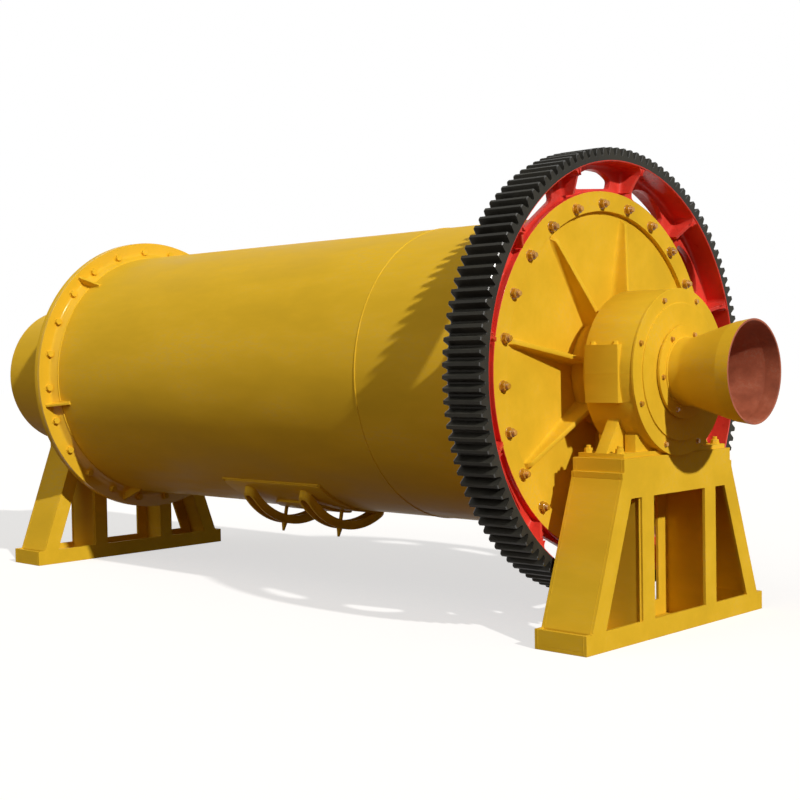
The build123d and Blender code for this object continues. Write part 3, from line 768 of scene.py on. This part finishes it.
gusset_foot = SHELL_RADIUS - GUSSET_SUNK
gusset_outline = [
    (-GUSSET_SUNK, gusset_foot), (GUSSET_LENGTH, gusset_foot), (GUSSET_LENGTH, gusset_foot + GUSSET_TOE),
    (GUSSET_TOE, gusset_foot + GUSSET_HEIGHT), (-GUSSET_SUNK, gusset_foot + GUSSET_HEIGHT),
]
shapes, beads = [], []
for angle in GUSSET_ANGLES:
    outwards, sideways = around(angle)
    origin = np.array([FEED_JOINT + FLANGE_FACE / 1000, 0, AXIS_HEIGHT])
    place = np.column_stack([ALONG, outwards, sideways, origin])
    shapes.append(slab(gusset_outline, GUSSET_THICKNESS, place))
    for side in (-1, 1):
        wall = origin + side * WELD_SIDE * sideways
        ends = [wall + outwards * (SHELL_RADIUS + WELD_OUT) + ALONG * x for x in FOOT_WELD]
        beads.append(straight_bead(*ends, outwards + side * sideways))
        ends = [wall + ALONG * WELD_OUT + outwards * (SHELL_RADIUS + r) for r in BACK_WELD]
        beads.append(straight_bead(*ends, ALONG + side * sideways))
break_edges(make_piece("feed_flange_gussets", *joined(shapes), "feed_flange"), 0.002)
for name, joint, inwards in JOINTS:
    beads.append(round_bead(joint + inwards * HUB_END / 1000, SHELL_RADIUS, 1, inwards))
make_piece("flange_welds", *joined(beads))
print("gussets:", len(shapes), "weld beads:", len(beads))

# %% Flange bolts
BOLT_CIRCLE, BOLT_COUNT = 0.986, 24
WEB_THICKNESS = 0.040
WEB_FRONT = DISCHARGE_JOINT + WEB_THICKNESS
DISC_FACE, RING_FACE = 12, 40
FEED_START, DISCHARGE_START = 4.5, 3.2
# Each row has a name, a station, the first bolt's angle, the side it faces, the stud and the stud's reach.
flange_bolts = [
    ("discharge_head_nuts", WEB_FRONT + RING_FACE / 1000, DISCHARGE_START, 1, 0.032, 0.020),
    ("discharge_head_bolt_heads", DISCHARGE_JOINT - FLANGE_FACE / 1000, DISCHARGE_START, -1, 0.036, 0),
    ("feed_flange_bolt_heads", FEED_JOINT + FLANGE_FACE / 1000, FEED_START, 1, 0.030, 0),
    ("feed_head_nuts", FEED_JOINT - RING_FACE / 1000, FEED_START, -1, 0.032, 0.020),
]
for name, station, start, out, stud, stud_reach in flange_bolts:
    places = spread_round(station, BOLT_CIRCLE, start, BOLT_COUNT, out)
    bolt_up(name, stud, stud_reach, places, shaded_bolt_paint if stud_reach else yellow)

# %% [markdown]
# ## Cast heads
# A head is one casting: a recessed disc inside a raised bolted ring, with eight ribs. The ribs have draft,
# so that the pattern could leave the mould, and they flare where they meet the disc. Draft and flare are
# one formula for the half width, which a bevelled box could not give.

# %% One rib
RIB_INNER, RIB_OUTER, RIB_FALL = 0.337, 0.918, 0.030
CREST_HIGH, CREST_LOW, CREST_EDGE = 0.130, 0.032, 0.002
CREST_START, CREST_END = 0.340, 0.915
RIB_HALF, RIB_DRAFT, RIB_FLARE, FLARE_HEIGHT = 0.0135, 0.03, 0.012, 0.009
RIB_STEPS = 26
RIB_SUNK = 0.0015


def rib_surface():
    """A rib along local x, with z its height. Its crest falls in a straight line from 130 mm to 32 mm, and
    its end falls over as a quarter ellipse. At height h below a crest H the half width is
    13.5 mm + 0.03 (H - h) + 12 mm exp(-h / 9 mm), and the crest's edges are rounded by a quarter ellipse."""
    radius = RIB_INNER + (RIB_OUTER - RIB_INNER) * np.linspace(0, 1, RIB_STEPS) ** 0.9
    crest = CREST_HIGH + (CREST_LOW - CREST_HIGH) * (radius - CREST_START) / (CREST_END - CREST_START)
    fall = np.clip((radius - (RIB_OUTER - RIB_FALL)) / RIB_FALL, 0, 0.999)
    crest = crest * np.sqrt(1 - fall**2) + CREST_EDGE
    share = np.array([0.0, 0.015, 0.04, 0.08, 0.14, 0.24, 0.4, 0.6, 0.78, 0.95, 0.975, 0.993])
    height = crest[:, None] * share[None, :] - RIB_SUNK
    flare = RIB_FLARE * np.exp(-np.maximum(height, 0) / FLARE_HEIGHT)
    half = RIB_HALF + RIB_DRAFT * (crest[:, None] - height) + flare
    round_top = 0.7 + 0.3 * np.sqrt(1 - np.clip((share - 0.95) / 0.045, 0, 1) ** 2)
    half = half * round_top[None, :] * (1 - 0.25 * fall[:, None])
    top = np.stack([radius, np.zeros(RIB_STEPS), crest - RIB_SUNK], axis=-1)
    right = np.stack([np.broadcast_to(radius[:, None], half.shape), half, height], axis=-1)
    left = right[:, ::-1] * np.array([1, -1, 1])
    return stacked(np.concatenate([right, top[:, None], left], axis=1))


rib = rib_surface()
print("points in a rib:", len(rib[0]))

# %% [markdown]
# A piece in two finishes stays one mesh. Its faces are told apart by where they look: a bore looks towards
# the axis, a rim away from it, and a lip along the drum.

# %% Pick faces for a second finish


def second_finish(piece, chosen):
    """Gives the second finish to the faces that chosen picks. It is asked with arrays of two parts of their
    direction, away from the axis and along it, and of the radius at which they lie."""
    mesh = piece.data
    centres, normals = np.empty((len(mesh.polygons), 3)), np.empty((len(mesh.polygons), 3))
    mesh.polygons.foreach_get("center", centres.ravel())
    mesh.polygons.foreach_get("normal", normals.ravel())
    spoke = centres * (0, 1, 1) - (0, 0, AXIS_HEIGHT)
    radius = np.linalg.norm(spoke, axis=1)
    picked = chosen((spoke * normals).sum(axis=1) / radius, normals[:, 0], radius)
    mesh.polygons.foreach_set("material_index", picked.astype(int))
    print(piece.name, "faces in the second finish:", int(picked.sum()), "of", len(picked))


# %% Both heads, with a red edge where the gear's paint reached the discharge head's ring
SPIGOT_END, SPIGOT_RADIUS, HEAD_BORE, RECESS_RADIUS = -52, 914.7, 260, 943
RED_EDGE = 0.007
RIB_ANGLES = np.radians(33.3 + 45.0 * np.arange(8))
head_outline = [
    (SPIGOT_END, HEAD_BORE, 2), (DISC_FACE, HEAD_BORE, 2), (DISC_FACE, RECESS_RADIUS, 4),
    (RING_FACE, RECESS_RADIUS, 3), (RING_FACE, FLANGE, 5), (0, FLANGE, 2), (0, SPIGOT_RADIUS, 2),
    (SPIGOT_END, SPIGOT_RADIUS, 6),
]
for name, joint, out in (("discharge_head", WEB_FRONT, 1), ("feed_head", FEED_JOINT, -1)):
    disc = turned_piece(f"{name}_disc", joint, out, head_outline, 256, name, finish=[yellow, red])
    if out > 0:
        second_finish(disc, lambda away, along, radius: (away > 0.3) & (radius > FLANGE_RADIUS - RED_EDGE))
    face = np.array([joint + out * DISC_FACE / 1000, 0, AXIS_HEIGHT])
    places = [np.column_stack([*around(angle), out * ALONG, face]) for angle in RIB_ANGLES]
    split_edges(facing_out(make_piece(f"{name}_ribs", *repeated(*rib, places), name)), 60)
    print(name, "ribs:", len(places))

# %% [markdown]
# ## Trunnions
# A trunnion is the hollow neck that carries a head. Its flared root is painted with the head. The journal
# beyond it is turned steel, and runs in the bush. Two rings that meet at the paint's end keep that border
# exact, with one plain finish each.

# %% Root and journal
DISCHARGE_OUTER = high("discharge_pedestal_outer_plate")[0]
FEED_OUTER = low("feed_pedestal_outer_plate")[0]
BORE, JOURNAL, NOSE, HUB = 180, 300, 240, 340
HUB_FACE, FLARE_END = 52, 92
JOURNAL_SHORT, NOSE_REACH = 18, 28.5
for name, joint, outer, out, paint_end in (
    ("discharge_trunnion", WEB_FRONT, DISCHARGE_OUTER, 1, 150),
    ("feed_trunnion", FEED_JOINT, FEED_OUTER, -1, 262),
):
    bearing_end = 1000 * out * (outer - joint)
    journal_end, nose_end = bearing_end - JOURNAL_SHORT, bearing_end + NOSE_REACH
    root_outline = [
        (SPIGOT_END, BORE, 1), (SPIGOT_END, HEAD_BORE, 1), (DISC_FACE, HEAD_BORE, 3), (DISC_FACE, HUB, 10),
        (HUB_FACE, HUB, 12), (FLARE_END, JOURNAL, 12), (paint_end, JOURNAL, 0.5), (paint_end, BORE, 0.5),
    ]
    turned_piece(f"{name}_root", joint, out, root_outline, 128, name)
    journal_outline = [
        (paint_end, BORE, 1.5), (paint_end, JOURNAL, 1.5), (journal_end, JOURNAL, 1.5),
        (journal_end, NOSE, 1.5), (nose_end, NOSE, 1.5), (nose_end, BORE, 1.5),
    ]
    bare = {"finish": steel, "slot_name": "journal_steel"}
    turned_piece(f"{name}_journal", joint, out, journal_outline, 128, name, **bare)
    print(name, "nose", round(nose_end), "mm from the head's joint")

# %% [markdown]
# ## Girth gear
# The girth gear is the ring by which a pinion turns the drum. Its flanks are involutes of the base circle.
# At a radius r the tooth fills, on each side of its middle, the angle
# pi / (2 z) + inv(20 degrees) - inv(acos(r_base / r)), with inv(a) = tan a - a. Here z is 122 teeth, of
# module 21 mm. The outline of all teeth is worked out once, and a few rows carry it across the face. A soft
# corner at each tooth's ends and tip makes the glint that shows how round it is.

# %% Tooth outline
GEAR_TEETH = 122
GEAR_MODULE = 0.021
PRESSURE_ANGLE = np.radians(20)
TIP_CORNER = 0.0009
PITCH_RADIUS = GEAR_TEETH * GEAR_MODULE / 2
TIP_RADIUS = PITCH_RADIUS + GEAR_MODULE
ROOT_RADIUS = PITCH_RADIUS - 1.25 * GEAR_MODULE
BASE_RADIUS = PITCH_RADIUS * np.cos(PRESSURE_ANGLE)


def involute(angle):
    """inv(a) = tan a - a."""
    return np.tan(angle) - angle


def rim_outline():
    """All teeth as one closed ring of radii and angles. Half a tooth goes from the root land, where its foot
    is widened by shares of the gap, up the involute to the tip, whose corner is 0.9 mm narrower."""
    share = np.array([0.0, 0.06, 0.2, 0.38, 0.56, 0.74, 0.9, 0.97])
    radius = share * (TIP_RADIUS - ROOT_RADIUS) + ROOT_RADIUS
    half = np.pi / (2 * GEAR_TEETH) + involute(PRESSURE_ANGLE) - involute(np.arccos(BASE_RADIUS / radius))
    half[:2] += np.array([0.35, 0.10]) * (np.pi / GEAR_TEETH - half[:2])
    radius, half = np.append(radius, TIP_RADIUS), np.append(half, half[-1] - TIP_CORNER / TIP_RADIUS)
    offset = np.concatenate([-half, half[::-1]])
    angles = np.arange(GEAR_TEETH)[:, None] * FULL_TURN / GEAR_TEETH + offset
    return np.tile(np.concatenate([radius, radius[::-1]]), GEAR_TEETH), angles.ravel()


tooth_radius, tooth_angle = rim_outline()
print(f"points round the rim: {len(tooth_radius)}, from radius {ROOT_RADIUS:.4f} to {TIP_RADIUS:.4f} m")

# %% Rim with its teeth
RIM_BORE, BORE_CORNER = 1.221, 0.003
END_CORNER, END_DROP, TOOTH_MARGIN = 0.004, 0.006, 0.004
GEAR_FRONT = high("girth_gear_rim")[0]
GEAR_BACK = low("girth_gear_rim")[0]
BLACK, WORN, RED = range(3)
softened = np.minimum(tooth_radius, TIP_RADIUS - END_DROP)
# Each row has its station, its radii and the finish of the faces up to the next row.
rim_rows = [
    (GEAR_FRONT - BORE_CORNER, RIM_BORE, RED), (GEAR_FRONT, RIM_BORE + BORE_CORNER, RED),
    (GEAR_FRONT, RIM_BORE + 2 * BORE_CORNER, BLACK), (GEAR_FRONT, ROOT_RADIUS - TOOTH_MARGIN, BLACK),
    (GEAR_FRONT, softened, WORN), (GEAR_FRONT - END_CORNER, tooth_radius, BLACK),
    (GEAR_FRONT - 3 * END_CORNER, tooth_radius, BLACK), ((GEAR_FRONT + GEAR_BACK) / 2, tooth_radius, BLACK),
    (GEAR_BACK + 3 * END_CORNER, tooth_radius, BLACK), (GEAR_BACK + END_CORNER, tooth_radius, WORN),
    (GEAR_BACK, softened, BLACK), (GEAR_BACK, RIM_BORE + 2 * BORE_CORNER, RED),
    (GEAR_BACK, RIM_BORE + BORE_CORNER, RED), (GEAR_BACK + BORE_CORNER, RIM_BORE, RED),
]
rings = np.array([about_axis(station, radius, tooth_angle) for station, radius, row_finish in rim_rows])
rim = make_piece(
    "girth_gear_toothed_rim", rings.reshape(-1, 3), grid_faces(len(rim_rows), len(tooth_angle), True),
    "girth_gear_rim", [gear_black, worn_corner, red], slot_name="gear_black", smooth=False,
)
face_finish = np.repeat([row_finish for station, radius, row_finish in rim_rows], len(tooth_angle))
rim.data.polygons.foreach_set("material_index", face_finish)
facing_out(rim)
print("gear rim:", len(rim.data.polygons), "faces,", GEAR_TEETH, "teeth")

# %% [markdown]
# A cove is the soft inner corner that a founder leaves where two faces meet. One runs along both sides of
# each fin, at its foot on the web and under the rim, and one right round inside the rim.

# %% Web with its windows, fins and coves
RED_CASTING = {"finish": red, "slot_name": "gear_red"}
FIN_ANGLES = np.radians(19.6 + 30.0 * np.arange(12))
FIN_HALF, FIN_FOOT, FIN_SHORT = 0.0108, (1.080, 1.219), 0.008
FOOT_COVE, RIM_COVE, FRONT_COVE = 0.034, 0.042, 0.026
COVE_SUNK, RING_SUNK, COVE_END = 0.0005, 0.002, 0.027
BACK_BORE = 1.194


def soft_corner(first, second, reach, steps):
    """The curve reach * (first (1-s)^2 + second s^2), for s from 0 to 1. first and second are the unit
    directions of the corner's two walls."""
    s = np.linspace(0, 1, steps)[:, None]
    return reach * (np.asarray(first) * (1 - s) ** 2 + np.asarray(second) * s**2)


def cove(start, end, first, second, reach):
    """The filling of an inner corner from start to end. Its back lies a tenth of its reach inside."""
    section = np.concatenate([[-0.1 * reach * (first + second)], soft_corner(first, second, reach, 6)])
    return stacked(np.array([start + section, end + section]))


copy_with_edges("girth_gear_web", 0.005, 3, **RED_CASTING)
coves = []
for angle in FIN_ANGLES:
    outwards, sideways = around(angle)
    for side in (-1, 1):
        wall = np.array([0, 0, AXIS_HEIGHT]) + side * FIN_HALF * sideways
        foot = [wall + ALONG * (WEB_FRONT - COVE_SUNK) + outwards * r for r in FIN_FOOT]
        coves.append(cove(*foot, side * sideways, ALONG, FOOT_COVE))
        run = (WEB_FRONT, GEAR_FRONT - FIN_SHORT)
        top = [wall + ALONG * x + outwards * (RIM_BORE + COVE_SUNK) for x in run]
        coves.append(cove(*top, side * sideways, -outwards, RIM_COVE))
split_edges(facing_out(make_piece("girth_gear_fin_coves", *joined(coves), **RED_CASTING)), 50)
behind, beyond = RING_SUNK, RIM_BORE + RING_SUNK
front_cove = np.concatenate([
    (WEB_FRONT, RIM_BORE) + soft_corner((1, 0), (0, -1), FRONT_COVE, 7),
    [(WEB_FRONT - behind, RIM_BORE - COVE_END), (WEB_FRONT - behind, beyond), (WEB_FRONT + COVE_END, beyond)],
])
back_rim = np.array([
    (DISCHARGE_JOINT + behind, BACK_BORE), (GEAR_BACK + 0.008, BACK_BORE + 0.003),
    (GEAR_BACK, BACK_BORE + 0.010), (GEAR_BACK, beyond), (DISCHARGE_JOINT + behind, beyond),
])
for name, ring in (("front_cove", front_cove), ("back_rim", back_rim)):
    points, faces = turned_points(ring, 256), grid_faces(len(ring), 256, True)
    split_edges(facing_out(make_piece(f"girth_gear_{name}", points, faces, **RED_CASTING)), 35)
print("fin coves:", len(coves))

# %% [markdown]
# ## Manhole
# The cover is held by two bows. Each bow presses on the pad, and a draw bolt pulls the cover against it.
# Their true shapes are in the model, so they are copied, and only the weld round the pad is new.

# %% Pad, cover, bows and bolts
copy_with_edges("manhole_pad", 0.002)
copy_with_edges("manhole_cover", 0.004, 3)
for number in (1, 2):
    copy_with_edges(f"manhole_clamp_{number}", 0.0025)
    copy_with_edges(f"manhole_bolt_{number}", 0.002)
print("manhole pieces:", sum(name.startswith("manhole") for name in nodes))

# %% Weld round the pad
MANHOLE_ANGLE = np.radians(-102.0)
PAD_ARC = 0.914
PAD_BEAD, PAD_BEAD_OUT = 0.007, 0.002
pad_low, pad_high = low("manhole_pad"), high("manhole_pad")
half_arc = PAD_ARC / (SHELL_RADIUS + 0.0003) / 2
beads = []
for end, pad_end in ((-1, pad_low[0]), (1, pad_high[0])):
    angle = MANHOLE_ANGLE + end * half_arc
    outwards, sideways = around(angle)
    shift = PAD_BEAD_OUT * end * sideways
    ends = [about_axis(x, SHELL_RADIUS, angle) + shift for x in (pad_low[0], pad_high[0])]
    beads.append(straight_bead(*ends, outwards + end * sideways, PAD_BEAD))
    angles = MANHOLE_ANGLE + np.linspace(-half_arc, half_arc, 130)
    path = about_axis(pad_end + end * PAD_BEAD_OUT, SHELL_RADIUS, angles)
    beads.append(bead(path, (end * ALONG + around(angles)[0]) / np.sqrt(2), PAD_BEAD))
make_piece("manhole_pad_weld", *joined(beads))
print("pad", np.round(pad_high - pad_low, 3), "welded on four sides")

# %% [markdown]
# ## Discharge trumpet and feed drum
# The trumpet is rolled from plate in two cones. It is yellow outside. Inside only the primer was sprayed.
# Both it and the feed drum start as a short tube with a flange, bolted on the trunnion's nose. Turned
# outlines give the creases between the cones, and two finishes in one mesh the border at the lip.

# %% Trumpet
TUBE_FACE = NOSE_REACH + 16
TUBE_FLANGE = [(NOSE_REACH, 182, 2), (NOSE_REACH, 263, 2), (TUBE_FACE, 263, 2), (TUBE_FACE, 194, 6)]
TUBE_BOLTS = (0.2285, 66.0, 6)
TUBE_WELD, TUBE_WELD_RADIUS = 0.046, 0.195
trumpet_outline = TUBE_FLANGE + [
    (114, 194, 20), (394, 276, 2), (480, 289, 2.5), (480, 277, 2.5), (394, 264, 2), (114, 182, 20),
]


def tube_bolts(name, outer, out):
    """The ring of bolts on a short tube's flange."""
    places = spread_round(outer + out * TUBE_FACE / 1000, *TUBE_BOLTS, out)
    bolt_up(name, 0.015, 0, places, shaded_bolt_paint)


trumpet = turned_piece(
    "discharge_trumpet_skin", DISCHARGE_OUTER, 1, trumpet_outline, 192, "discharge_trumpet",
    finish=[yellow, primer],
)
second_finish(trumpet, lambda away, along, radius: (away < -0.3) | ((along > 0.3) & (radius > 0.270)))
make_piece("discharge_trumpet_weld", *round_bead(DISCHARGE_OUTER + TUBE_WELD, TUBE_WELD_RADIUS, 1, 1))
tube_bolts("discharge_trumpet_bolts", DISCHARGE_OUTER, 1)

# %% Feed drum and its cover
feed_drum_outline = TUBE_FLANGE + [
    (119, 194, 8), (119, 564, 8), (587, 564, 3), (587, 552, 3), (131, 552, 6), (131, 182, 3),
]
feed_drum = turned_piece(
    "feed_drum_skin", FEED_OUTER, -1, feed_drum_outline, 192, "feed_drum", finish=[yellow, primer]
)
second_finish(feed_drum, lambda away, along, radius: away < -0.3)
cover_outline = [(587, 200, 2), (587, 551.7, 2), (575, 551.7, 2), (575, 212, 2), (527, 212, 2), (527, 200, 2)]
turned_piece("feed_drum_cover_skin", FEED_OUTER, -1, cover_outline, 192, "feed_drum_cover")
beads = [
    round_bead(FEED_OUTER - TUBE_WELD, TUBE_WELD_RADIUS, 1, -1),
    round_bead(FEED_OUTER - 0.117, TUBE_WELD_RADIUS, 1, 1),
    round_bead(FEED_OUTER - 0.587, 0.551, 0, -1),
]
make_piece("feed_drum_welds", *joined(beads))
tube_bolts("feed_drum_bolts", FEED_OUTER, -1)

# %% [markdown]
# ## Bearings
# Each bearing is a split casting. Its cap is bolted to its base through the lugs, its base to the pedestal,
# and a stepped cover closes its outer face. The castings are copied with broad bevels. The round parts
# are turned anew, because a fillet is smoother on a turned outline than from a bevel.

# %% Caps, bases, bushes and covers
BEARING_ENDS = [("discharge", DISCHARGE_OUTER, 1), ("feed", FEED_OUTER, -1)]
COVER_STEP, COVER_TOP = 14, 23
COVER_BOLTS = (0.432, 67.5, 8)
BUSH = {"finish": bronze, "body": "stand", "slot_name": "bush_bronze"}
bush_outline = [(-300, 300.3, 2), (-300, 340, 2), (-20, 340, 2), (-20, 300.3, 2)]
bearing_cover_outline = [
    (0, 246, 1), (0, 473, 1), (COVER_STEP, 473, 3), (COVER_STEP, 389, 4), (COVER_TOP, 389, 3),
    (COVER_TOP, 246, 3),
]
for end, outer, out in BEARING_ENDS:
    copy_with_edges(f"{end}_bearing_cap", 0.005, 3, body="stand")
    copy_with_edges(f"{end}_bearing_base", 0.005, 3, body="stand")
    name = f"{end}_bearing_bush"
    turned_piece(f"{name}_skin", outer, out, bush_outline, 128, name, **BUSH)
    name = f"{end}_bearing_cover"
    turned_piece(f"{name}_skin", outer, out, bearing_cover_outline, 192, name, body="stand")
    places = spread_round(outer + out * COVER_STEP / 1000, *COVER_BOLTS, out)
    bolt_up(f"{end}_cover_bolts", 0.016, 0, places, shaded_bolt_paint, "stand")

# %% Bolts through the lugs and the feet
PEDESTAL_DEPTH = 0.343
LUG_TOP, LUG_SIDE, LUG_DISTANCES = AXIS_HEIGHT + 0.160, 0.452, (0.080, 0.230)
FOOT_TOP, FOOT_SIDE, FOOT_DISTANCES = AXIS_HEIGHT - 0.435, 0.490, (0.068, 0.275)


def bolt_grid(inner, out, side, distances, top):
    """Places on both sides of the bearing, at distances out from its inner face, facing up."""
    return [place_at((inner + out * d, s * side, top), UP, ALONG) for s in (-1, 1) for d in distances]


for end, outer, out in BEARING_ENDS:
    inner = outer - out * PEDESTAL_DEPTH
    places = bolt_grid(inner, out, LUG_SIDE, LUG_DISTANCES, LUG_TOP)
    bolt_up(f"{end}_lug_bolts", 0.020, 0, places, yellow, "stand")
    places = bolt_grid(inner, out, FOOT_SIDE, FOOT_DISTANCES, FOOT_TOP)
    bolt_up(f"{end}_foot_bolts", 0.028, 0.016, places, yellow, "stand")

# %% [markdown]
# ## Pedestals
# The pedestals are boxes of plate. Their edges are ground, and fillet welds run where plates meet. Each
# plate is copied by itself, with flat shading, so that the joints between the plates stay in sight.

# %% Plates
PLATES = ["inner_plate", "outer_plate", "base_plate", "top_plate"]
PLATES += [f"{name}_{hand}" for name in ("side_plate", "post", "base_end") for hand in ("left", "right")]
for end, outer, out in BEARING_ENDS:
    for plate in PLATES:
        has_bays = plate in ("inner_plate", "outer_plate")
        copy_with_edges(
            f"{end}_pedestal_{plate}", 0.0015, body="stand", join_flats=not has_bays, smooth=False
        )
print("plates in a pedestal:", len(PLATES))

# %% Corner welds, ground flush, where the faces meet the sides
PLATE = 0.020
LEG_FOOT, LIP_HALF_WIDTH, BOX_HALF_WIDTH = 0.848, 0.562, 0.545
BASE_TOP, LIP_HEIGHT = 0.110, 0.035
CORNER_BEAD, CORNER_SUNK = 0.0021, 0.001


def corner_welds(end, stations):
    """Straight beads up the outline of a pedestal. Each is centred 1 mm inside the outline, along the normal
    (dz, -dy) of its run (dy, dz), so that it fills the groove and hardly stands proud."""
    base_half = high(f"{end}_pedestal_base_plate")[1]
    leg_top = high(f"{end}_pedestal_side_plate_left")[2]
    box_top = high(f"{end}_pedestal_top_plate")[2]
    runs = [
        ((base_half, 0.002), (base_half, BASE_TOP)),
        ((LEG_FOOT, BASE_TOP), (LIP_HALF_WIDTH, leg_top)),
        ((LIP_HALF_WIDTH, leg_top), (LIP_HALF_WIDTH, leg_top + LIP_HEIGHT)),
        ((BOX_HALF_WIDTH, leg_top + LIP_HEIGHT), (BOX_HALF_WIDTH, box_top)),
    ]
    made = []
    for start, stop in runs:
        run = np.subtract(stop, start)
        normal = np.array([run[1], -run[0]]) / np.linalg.norm(run)
        for side in (-1, 1):
            lean = np.array([0, side * normal[0], normal[1]])
            for station in stations:
                ends = [np.array([station, side * y, z]) - CORNER_SUNK * lean for y, z in (start, stop)]
                made.append(straight_bead(*ends, lean, CORNER_BEAD))
    return made


# %% Fillet welds of the pedestals
POST_OUTER, POST_INNER = 0.380, 0.360
POST_FOOT, POST_TOP = 0.025, 0.790
for end, outer, out in BEARING_ENDS:
    inner = outer - out * PEDESTAL_DEPTH
    faces_inside = ((inner + out * PLATE, out), (outer - out * PLATE, -out))
    beads = []
    for side in (-1, 1):
        corners = ((POST_OUTER, side), (POST_INNER, -side))
        for station, facing in faces_inside:
            for y, turned in corners:
                ends = [(station, side * y, z) for z in (POST_FOOT, POST_TOP)]
                beads.append(straight_bead(*ends, (facing, turned, 0)))
        for y, turned in ((LEG_FOOT, side), *corners):
            ends = [(station + 0.002 * facing, side * y, PLATE) for station, facing in faces_inside]
            beads.append(straight_bead(*ends, (0, turned, 1)))
    beads += corner_welds(end, [station for station, facing in faces_inside])
    make_piece(f"{end}_pedestal_welds", *joined(beads), body="stand")
    print(end, "pedestal weld beads:", len(beads))
